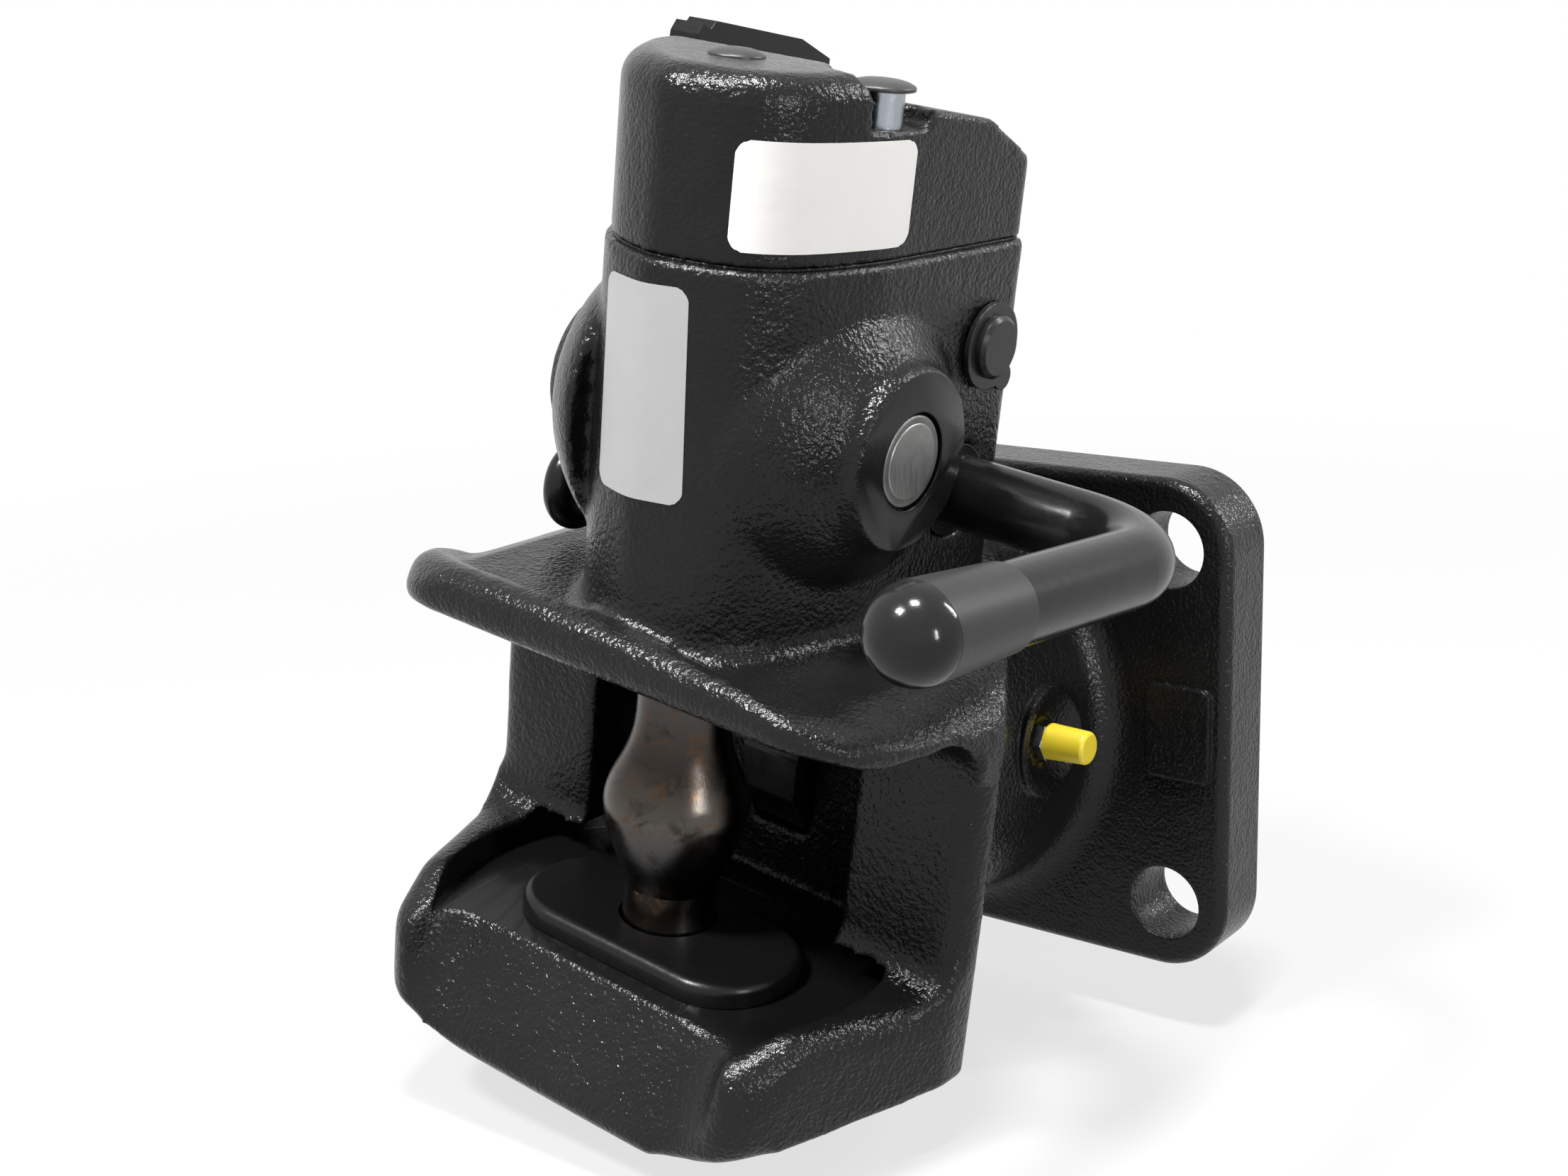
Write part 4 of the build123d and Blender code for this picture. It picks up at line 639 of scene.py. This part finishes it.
class COUPLING_OT_finishes(bpy.types.Operator):
    """Make the finishes and give each CAD node its own"""

    bl_idname = "coupling.finishes"
    bl_label = "Finishes"

    def execute(self, context):
        colours = context.scene.coupling_finishes
        make_groups()
        made = {
            "cast": cast_material("cast_paint", colours.cast_paint, 900.0, 0.00042, 0.0010),
            "flange": flange_material("flange_paint", colours.cast_paint),
            "cover": cast_material("cover_paint", colours.cast_paint, 1000.0, 0.00034, 0.0010),
            "milled": painted_material("milled_paint", colours.smooth_paint, 0.26, 0.00002),
            "pin_end": steel_material("pin_end_steel", (0.20, 0.20, 0.195), 0.42, stain=0.5),
            "pin": pin_material("pin_steel", colours.bare_steel),
            "turned": steel_material("turned_steel", colours.turned_steel, 0.38),
            "paint": painted_material("smooth_paint", colours.smooth_paint, 0.2),
            "plate": painted_material("plate_paint", colours.smooth_paint, 0.3, 0.00009),
            "oiled": painted_material("oiled_steel", (0.011, 0.011, 0.011), 0.3),
            "ring": painted_material(
                "ring_steel", (0.011, 0.011, 0.011), 0.28, wear=1.0, metal=(0.42, 0.42, 0.41)),
            "zinc": steel_material("zinc_plate", colours.zinc, 0.2, stain=0.12),
            "bronze": steel_material("bearing_bronze", colours.bronze, 0.35),
            "yellow": plastic_material("yellow_plastic", colours.yellow_cap, 0.34),
            "plastic": grip_material("black_plastic", colours.black_plastic),
            "plug": plastic_material("plug_plastic", (0.014, 0.014, 0.015), 0.36, specular=0.4),
            "white_film": film_material("white_film", colours.white_label, 0.42),
            "grey_film": film_material("grey_film", colours.grey_label, 0.38, metallic=0.25),
        }
        for finish, nodes in NODE_FINISHES.items():
            for name in nodes:
                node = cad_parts[name]
                node.data.materials.clear()
                node.data.materials.append(made[finish])
        return {"FINISHED"}


class COUPLING_OT_head_casting(bpy.types.Operator):
    """Give the head casting its rolled lip and rounded edges, then machine its faces"""

    bl_idname = "coupling.head_casting"
    bl_label = "Head casting"

    def execute(self, context):
        sizes = context.scene.coupling_sizes
        piece = merged_copy("head_casting", "head_casting_surface")
        bead = lip_bead()
        piece.select_set(True)
        bpy.context.view_layer.objects.active = piece
        bead.select_set(True)
        bpy.ops.object.join()
        cells = piece.modifiers.new("cells", "REMESH")
        cells.mode = "VOXEL"
        cells.voxel_size = sizes.cast_cell
        apply_modifiers(piece)
        round_group(piece, "softness", lambda place: crisp_share(place, TURNED_PLACES))
        round_group(piece, "rims", lambda place: rim_share(place, ROLLED_RIMS))
        round_group(piece, "corner", lambda place: rim_share(place, SOFT_CORNER))
        soften_piece(
            piece,
            (("softness", sizes.cast_rounds), ("rims", sizes.rim_rounds),
             ("corner", sizes.corner_rounds), ("", 2)),
            180000)
        piece.data.materials.clear()
        piece.data.materials.append(bpy.data.materials["cast_paint"])
        machine_head(piece)
        bpy.ops.object.shade_smooth_by_angle(angle=radians(38))
        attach(piece, "head")
        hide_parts("head_casting")
        return {"FINISHED"}


class COUPLING_OT_cover(bpy.types.Operator):
    """Round the edges of the cast cover"""

    bl_idname = "coupling.cover"
    bl_label = "Cover"

    def execute(self, context):
        sizes = context.scene.coupling_sizes
        piece = merged_copy("tower_cover", "tower_cover_surface")
        cells = piece.modifiers.new("cells", "REMESH")
        cells.mode = "VOXEL"
        cells.voxel_size = sizes.cast_cell * 0.8
        apply_modifiers(piece)
        round_group(piece, "softness", lambda place: min(
            min(max((place.z - 142.5) / 3.0, 0.04), 1.0), crisp_share(place, COVER_BORE)))
        soften_piece(piece, (("softness", sizes.cast_rounds + 3), ("", 1)), 150000)
        bpy.ops.object.shade_smooth_by_angle(angle=radians(60))
        seat(piece, "head", bpy.data.materials["cover_paint"])
        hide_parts("tower_cover")
        return {"FINISHED"}


def soften_piece(piece, steps, most_faces):
    """Smooth a remeshed piece in steps of (vertex group, passes), then thin its mesh."""
    for group, rounds in steps:
        soften = piece.modifiers.new("soften", "SMOOTH")
        soften.factor = 0.5
        soften.iterations = rounds
        soften.vertex_group = group
    count = len(piece.data.polygons) * 2
    if count > most_faces:
        fewer = piece.modifiers.new("fewer", "DECIMATE")
        fewer.ratio = most_faces / count
    apply_modifiers(piece)


# Middle line of the lip's rolled front edge, in upright millimetres, and its radius
LIP_BEAD = (
    (-75.0, -134.0, 41.0, 4.6), (-72.5, -144.0, 43.6, 6.2), (-66.0, -155.0, 46.0, 6.8),
    (-50.0, -161.0, 48.6, 6.8), (-30.0, -161.6, 49.6, 6.6), (-10.0, -161.8, 49.8, 6.4),
    (10.0, -162.2, 49.8, 6.0), (30.0, -162.6, 48.8, 5.4), (48.0, -162.2, 47.8, 5.2),
    (62.0, -157.6, 45.4, 5.0), (69.5, -147.0, 41.6, 4.6),
)


def lip_bead():
    """A tapering rod along the lip's edge, which the casting takes in."""
    deselect_all()
    bpy.ops.curve.primitive_nurbs_path_add()
    rod = bpy.context.object
    spline = rod.data.splines[0]
    spline.points.add(len(LIP_BEAD) - len(spline.points))
    for point, (x, y, z, radius) in zip(spline.points, LIP_BEAD):
        point.co = (*head_point(x, y, z), 1.0)
        point.radius = radius * MM
    spline.order_u = 4
    spline.use_endpoint_u = True
    rod.data.bevel_depth = 1.0
    rod.data.bevel_resolution = 6
    rod.data.use_fill_caps = True
    bpy.ops.object.convert(target="MESH")
    return bpy.context.object


def cutter_rod(place, direction, radius, length, material):
    """A round cutter that starts at a place, in upright millimetres, and reaches along a direction."""
    deselect_all()
    axis = head_direction(*direction)
    middle = head_point(*place) + axis * (length * MM / 2)
    bpy.ops.mesh.primitive_cylinder_add(
        vertices=128, radius=radius * MM, depth=length * MM, location=middle,
        rotation=turn_matrix(axis.orthogonal(), axis).to_euler())
    rod = new_piece("cutter")
    rod.data.materials.append(material)
    return rod


def cut_away(piece, cutter):
    """Cut a piece; the new faces take the cutter's material."""
    cut = piece.modifiers.new("cut", "BOOLEAN")
    cut.operation = "DIFFERENCE"
    cut.object = cutter
    cut.solver = "EXACT"
    cut.material_mode = "TRANSFER"
    apply_modifiers(piece)
    bpy.data.objects.remove(cutter)


def machine_head(piece):
    """Mill the jaw's floor, and face both bosses."""
    milled = bpy.data.materials["milled_paint"]
    floor = cutter_rod((0, PIN_Y, MILLED_Z), (0, 0, 1), MILLED_RADIUS, MILLED_DEPTH, milled)
    make_active(floor)
    bpy.ops.object.mode_set(mode="EDIT")
    bpy.ops.mesh.select_all(action="SELECT")
    bpy.ops.mesh.bisect(
        plane_co=head_point(0, MILLED_REAR_Y, 0), plane_no=(0.0, 1.0, 0.0),
        clear_outer=True, use_fill=True)
    bpy.ops.object.mode_set(mode="OBJECT")
    bpy.ops.object.transform_apply(location=True, rotation=True, scale=True)
    cut_away(piece, floor)
    for side in (1, -1):
        for start_x, radius in ((BOSS_FACE_X, BOSS_CUT_RADIUS), (SEAT_X, SEAT_RADIUS)):
            cutter = cutter_rod(
                (side * start_x, CROSS_Y, CROSS_Z), (side, 0, 0), radius, BOSS_CUT_LENGTH, milled)
            cut_away(piece, cutter)
    piece.data.materials.append(bpy.data.materials["turned_steel"])
    steel = len(piece.data.materials) - 1
    for face in piece.data.polygons:
        if face.center.y > STEM_START_Y:
            face.material_index = steel


# Turned, bored and milled places of the head, in upright millimetres: the two ends
# of an axis, an outer radius, and how far the surface may be smoothed there
TURNED_PLACES = (
    ((-60, -73.7, 80), (60, -73.7, 80), 15.0, 0.05),
    ((-60, -67, 116.5), (60, -67, 116.5), 11.0, 0.05),
    ((40, CROSS_Y, CROSS_Z), (60, CROSS_Y, CROSS_Z), 24.0, 0.10),
    ((-60, CROSS_Y, CROSS_Z), (-40, CROSS_Y, CROSS_Z), 24.0, 0.10),
    ((0, PIN_Y, 30), (0, PIN_Y, 150), 24.0, 0.05),
    ((0, PIN_Y, -90), (0, PIN_Y, -20), 22.0, 0.05),
    ((0, -72, 0), (0, 40, 0), 31.0, 0.05),
    ((0, -100, 134), (0, -100, 150), 90.0, 0.12),
    ((0, PIN_Y, -41.5), (0, PIN_Y, -28), 64.0, 0.12),
)

# Bore of the closing spring and the shank in the cover, in the same form
COVER_BORE = (((0, PIN_Y, 130), (0, PIN_Y, 172), 21.0, 0.0),)

# Rolled rims of the jaw, in upright millimetres: a path and the radius round it.
# They all lie in front of the rear limit.
RIMS_REAR_Y = -110
ROLLED_RIMS = (
    (((-74, -112, 42), (-70, -145, 42), (-56, -160, 46), (0, -160, 50), (56, -160, 46),
      (70, -145, 42), (74, -112, 42)), 13.0),
    (((-66, -118, -32), (-60, -155, -34), (-48, -170, -44), (0, -174, -56), (48, -170, -44),
      (60, -155, -34), (66, -118, -32)), 11.0),
    (((46, -157, -40), (50, -166, -50), (50, -173, -62)), 14.0),
    (((-46, -157, -40), (-50, -166, -50), (-50, -173, -62)), 14.0),
    (((69, -113, -38), (70, -112, -16)), 17.0),
    (((-69, -113, -38), (-70, -112, -16)), 17.0),
    (((-66, -118, -60), (-50, -172, -64), (0, -174, -72), (50, -172, -64), (66, -118, -60)), 10.0),
)

# The landing's right corner, which runs softly into the side
SOFT_CORNER = ((((49, -160, -44), (51, -170, -56), (50, -174, -72)), 17.0),)


def round_group(piece, name, share):
    """Weigh each vertex by its place in the upright head, in millimetres."""
    group = piece.vertex_groups.new(name=name)
    upright = UPRIGHT.inverted()
    for vertex in piece.data.vertices:
        weight = share(upright @ vertex.co / MM)
        if weight > 0.0:
            group.add([vertex.index], weight, "REPLACE")


def rim_share(place, rims):
    """How near a place is to a rolled rim, from 0 to 1."""
    share = 0.0
    if place.y > RIMS_REAR_Y:
        return share
    for path, radius in rims:
        for start, end in zip(path, path[1:]):
            a, b = Vector(start), Vector(end)
            along = min(max((place - a).dot(b - a) / (b - a).length_squared, 0.0), 1.0)
            away = (place - a - along * (b - a)).length
            share = max(share, min(max((radius - away) / 4.0, 0.0), 1.0))
    return min(share, crisp_share(place, TURNED_PLACES))


def crisp_share(place, zones):
    """How much a vertex at this upright place may be smoothed, from 0 to 1."""
    share = 1.0
    for start, end, radius, softness in zones:
        a, b = Vector(start), Vector(end)
        along = (place - a).dot(b - a) / (b - a).length_squared
        if 0.0 <= along <= 1.0:
            away = (place - a - along * (b - a)).length - radius
            share = min(share, softness + (1 - softness) * min(max(away / 4.0, 0.0), 1.0))
    return share


class COUPLING_OT_pin_ends(bpy.types.Operator):
    """Turned ends of the cross pins, with a bright rim and a centre mark"""

    bl_idname = "coupling.pin_ends"
    bl_label = "Cross pin ends"

    def execute(self, context):
        for side, name in ((1, "pin_end_right"), (-1, "pin_end_left")):
            steps = ((0.9, 0.0), (7.6, 0.0), (0.6, -0.15), (0.9, -0.5))
            disc = turned_end(
                name, (side * 43.6, CROSS_Y, CROSS_Z), (side, 0, 0), 11.2, 3.7, steps, 0.7)
            seat(disc, "head", bpy.data.materials["pin_end_steel"])
        return {"FINISHED"}


def turned_end(name, place, direction, radius, height, steps, rim):
    """A turned disc whose end face is stepped by (inset, rise) pairs, with a bevelled rim."""
    disc = cutter_rod(place, direction, radius, height, bpy.data.materials["pin_end_steel"])
    disc.name = name
    disc.data.name = name
    axis = head_direction(*direction)
    make_active(disc)
    bpy.ops.object.transform_apply(location=True, rotation=True, scale=True)
    bpy.ops.object.mode_set(mode="EDIT")
    bpy.ops.mesh.select_all(action="DESELECT")
    mesh = bmesh.from_edit_mesh(disc.data)
    bpy.context.tool_settings.mesh_select_mode = (False, False, True)
    for face in mesh.faces:
        face.select_set(face.normal.dot(axis) > 0.99)
    bmesh.update_edit_mesh(disc.data)
    for inset, rise in steps:
        bpy.ops.mesh.inset(thickness=inset * MM, depth=rise * MM)
    bpy.ops.object.mode_set(mode="OBJECT")
    bevel = disc.modifiers.new("rim", "BEVEL")
    bevel.width = rim * MM
    bevel.segments = 3
    bevel.limit_method = "ANGLE"
    bevel.angle_limit = radians(50)
    apply_modifiers(disc)
    bpy.ops.object.shade_smooth_by_angle(angle=radians(30))
    return disc


class COUPLING_OT_domed_caps(bpy.types.Operator):
    """Thin domed caps: on the indicator pin, and the plug in the roof"""

    bl_idname = "coupling.domed_caps"
    bl_label = "Domed caps"

    def execute(self, context):
        dome = ((0.5, 0.35), (1.0, 0.45), (1.4, 0.35), (1.6, 0.2), (1.6, 0.08))
        plastic = bpy.data.materials["plug_plastic"]
        cap = turned_end("indicator_dome", (28.0, -111.0, 179.8), (0, 0, 1), 7.7, 0.9, dome, 0.25)
        seat(cap, "indicator", plastic)
        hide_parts("indicator_cap")
        plug = turned_end("roof_plug", (0.0, PIN_Y, 179.0), (0, 0, 1), 6.6, 5.3, dome, 0.25)
        seat(plug, "head", plastic)
        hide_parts("top_plug")
        return {"FINISHED"}


def trim_corners(half_width, half_height, radius, steps=5):
    """Round the corners of a flat sheet that lies in its own XY plane, by bisecting."""
    piece = bpy.context.object
    world = piece.matrix_world
    for sx in (-1, 1):
        for sy in (-1, 1):
            centre = Vector((sx * (half_width - radius), sy * (half_height - radius), 0))
            for step in range(steps):
                angle = pi / 2 * (step + 0.5) / steps
                outward = Vector((sx * cos(angle), sy * sin(angle), 0))
                bpy.ops.mesh.select_all(action="SELECT")
                bpy.ops.mesh.bisect(
                    plane_co=world @ (centre + outward * radius),
                    plane_no=world.to_3x3() @ outward, clear_outer=True)


def add_label(name, centre, across, normal, width, height, target, material):
    """A thin film, pressed onto what it sticks to."""
    sizes = bpy.context.scene.coupling_sizes
    deselect_all()
    bpy.ops.mesh.primitive_grid_add(
        x_subdivisions=48, y_subdivisions=48, size=1.0,
        location=centre + normal * 0.03, rotation=turn_matrix(across, normal).to_euler())
    piece = new_piece(name)
    piece.scale = (width, height, 1.0)
    bpy.ops.object.transform_apply(location=False, rotation=False, scale=True)
    bpy.ops.object.mode_set(mode="EDIT")
    trim_corners(width / 2, height / 2, sizes.label_corner)
    bpy.ops.object.mode_set(mode="OBJECT")
    wrap = piece.modifiers.new("press_on", "SHRINKWRAP")
    wrap.target = target
    wrap.wrap_method = "PROJECT"
    wrap.use_project_z = True
    wrap.use_negative_direction = True
    wrap.use_positive_direction = False
    wrap.offset = 0.00005
    film = piece.modifiers.new("film", "SOLIDIFY")
    film.thickness = sizes.label_thickness
    film.offset = 1.0
    apply_modifiers(piece)
    bpy.ops.object.shade_smooth_by_angle(angle=radians(40))
    seat(piece, "head", material)


class COUPLING_OT_labels(bpy.types.Operator):
    """Bare label films on the cover and on the tower's nose"""

    bl_idname = "coupling.labels"
    bl_label = "Labels"

    def execute(self, context):
        materials = bpy.data.materials
        add_label(
            "cover_label", Vector((0.0528, -0.1294, 0.1512)), Vector((16.2, 47.0, -3.1)),
            Vector((0.80, -0.60, -0.12)).normalized(), 0.0465, 0.0243,
            bpy.data.objects["tower_cover_surface"], materials["white_film"])
        add_label(
            "nose_label", Vector((0.0180, -0.158, 0.1093)), Vector((26.5, -2.9, -3.1)),
            Vector((-0.10, -1.0, 0.0)).normalized(), 0.0268, 0.0500,
            bpy.data.objects["head_casting_surface"], materials["grey_film"])
        return {"FINISHED"}


class COUPLING_OT_studio(bpy.types.Operator):
    """Pale floor, soft lamps, white surroundings and the camera"""

    bl_idname = "coupling.studio"
    bl_label = "Studio"

    def execute(self, context):
        add_camera()
        add_world()
        add_floor(context.scene.coupling_sizes.floor_radius)
        for lamp in LAMPS:
            add_lamp(*lamp)
        return {"FINISHED"}


def add_camera():
    """The photograph's place and direction of view, with its small roll."""
    azimuth, elevation, roll = radians(38.23), radians(14.77), radians(-2.07)
    forward = Vector(
        (-sin(azimuth) * cos(elevation), cos(azimuth) * cos(elevation), -sin(elevation)))
    level = Vector((cos(azimuth), sin(azimuth), 0.0))
    upward = level.cross(forward)
    right = cos(roll) * level + sin(roll) * upward
    up = cos(roll) * upward - sin(roll) * level
    data = bpy.data.cameras.new("camera")
    data.sensor_width = 36.0
    data.lens = FOCAL_PIXELS * data.sensor_width / IMAGE_WIDTH
    data.clip_start = 0.01
    camera = bpy.data.objects.new("camera", data)
    bpy.context.scene.collection.objects.link(camera)
    camera.matrix_world = Matrix.Translation(CAMERA_PLACE) @ Matrix(
        (right, up, -forward)).transposed().to_4x4()
    bpy.context.scene.camera = camera


def add_world():
    """White for the camera and in reflections, a plain grey level as light."""
    world = bpy.data.worlds.new("surroundings")
    bpy.context.scene.world = world
    world.use_nodes = True
    tree = world.node_tree
    background = tree.nodes["Background"]
    background.inputs["Color"].default_value = (1.0, 1.0, 1.0, 1.0)
    strength = add_node(tree, "ShaderNodeMapRange", (-250, 0), To_Min=0.25, To_Max=1.0)
    tree.links.new(seen_directly(tree, (-900, 0)), strength.inputs["Value"])
    tree.links.new(strength.outputs[0], background.inputs["Strength"])


def add_floor(radius):
    """A plain pale floor under the lowest point of the part, white towards its far edge."""
    deselect_all()
    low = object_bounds()[0]
    bpy.ops.mesh.primitive_circle_add(
        vertices=96, radius=radius, fill_type="NGON", location=(0.0, 0.0, low[2] - 0.0003))
    floor = new_piece("studio_floor")
    bpy.ops.object.transform_apply(location=True, rotation=True, scale=True)
    material = bpy.data.materials.new("floor_pale")
    material.use_nodes = True
    tree = material.node_tree
    shader = tree.nodes["Principled BSDF"]
    shader.inputs["Base Color"].default_value = (0.34, 0.34, 0.34, 1.0)
    shader.inputs["Roughness"].default_value = 0.9
    shader.inputs["Specular IOR Level"].default_value = 0.0
    white = add_node(tree, "ShaderNodeEmission", (0, -300), Strength=1.0)
    seen = seen_directly(tree, (-900, -200))
    coordinates = add_node(tree, "ShaderNodeTexCoord", (-1100, -450))
    away = add_node(tree, "ShaderNodeVectorMath", (-900, -450), {"operation": "LENGTH"})
    tree.links.new(coordinates.outputs["Object"], away.inputs[0])
    fade = add_node(
        tree, "ShaderNodeMapRange", (-700, -450), From_Min=0.15, From_Max=0.9, To_Min=0.72, To_Max=1.0)
    tree.links.new(away.outputs["Value"], fade.inputs["Value"])
    both = add_node(tree, "ShaderNodeMixShader", (400, -100))
    share = math_node(tree, "MULTIPLY", (-300, -300), seen, fade.outputs[0])
    tree.links.new(share, both.inputs[0])
    tree.links.new(shader.outputs[0], both.inputs[1])
    tree.links.new(white.outputs[0], both.inputs[2])
    tree.links.new(both.outputs[0], tree.nodes["Material Output"].inputs["Surface"])
    floor.data.materials.append(material)
    floor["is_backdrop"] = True


def add_lamp(name, azimuth, elevation, size, power):
    """A soft rectangular lamp that looks at the object."""
    a, e = radians(azimuth), radians(elevation)
    out = Vector((sin(a) * cos(e), -cos(a) * cos(e), sin(e)))
    data = bpy.data.lights.new(name, "AREA")
    data.shape = "RECTANGLE"
    data.size, data.size_y = size
    data.energy = power
    lamp = bpy.data.objects.new(name, data)
    bpy.context.scene.collection.objects.link(lamp)
    lamp.location = LAMP_TARGET + out * LAMP_DISTANCE
    lamp.rotation_euler = out.to_track_quat("Z", "Y").to_euler()


class COUPLING_PT_panel(bpy.types.Panel):
    """Steps of the coupling's looks, in order"""

    bl_idname = "COUPLING_PT_panel"
    bl_label = "Trailer coupling"
    bl_space_type = "VIEW_3D"
    bl_region_type = "UI"
    bl_category = "Coupling"

    def draw(self, context):
        layout = self.layout
        for step in STEPS:
            layout.operator(step.bl_idname)
        for group in (context.scene.coupling_finishes, context.scene.coupling_sizes):
            for key in group.__annotations__:
                layout.prop(group, key)


STEPS = (
    COUPLING_OT_finishes,
    COUPLING_OT_head_casting,
    COUPLING_OT_cover,
    COUPLING_OT_pin_ends,
    COUPLING_OT_domed_caps,
    COUPLING_OT_labels,
    COUPLING_OT_studio,
)
CLASSES = (CouplingFinishes, CouplingSizes, *STEPS, COUPLING_PT_panel)


def register():
    for cls in CLASSES:
        bpy.utils.register_class(cls)
    bpy.types.Scene.coupling_finishes = bpy.props.PointerProperty(type=CouplingFinishes)
    bpy.types.Scene.coupling_sizes = bpy.props.PointerProperty(type=CouplingSizes)


def unregister():
    del bpy.types.Scene.coupling_sizes
    del bpy.types.Scene.coupling_finishes
    for cls in reversed(CLASSES):
        bpy.utils.unregister_class(cls)


def main():
    """Run every step in order."""
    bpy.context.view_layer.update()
    register()
    bpy.ops.coupling.finishes()
    bpy.ops.coupling.head_casting()
    bpy.ops.coupling.cover()
    bpy.ops.coupling.pin_ends()
    bpy.ops.coupling.domed_caps()
    bpy.ops.coupling.labels()
    bpy.ops.coupling.studio()
    bpy.context.scene.view_settings.view_transform = "Standard"


if __name__ == "__main__":
    main()
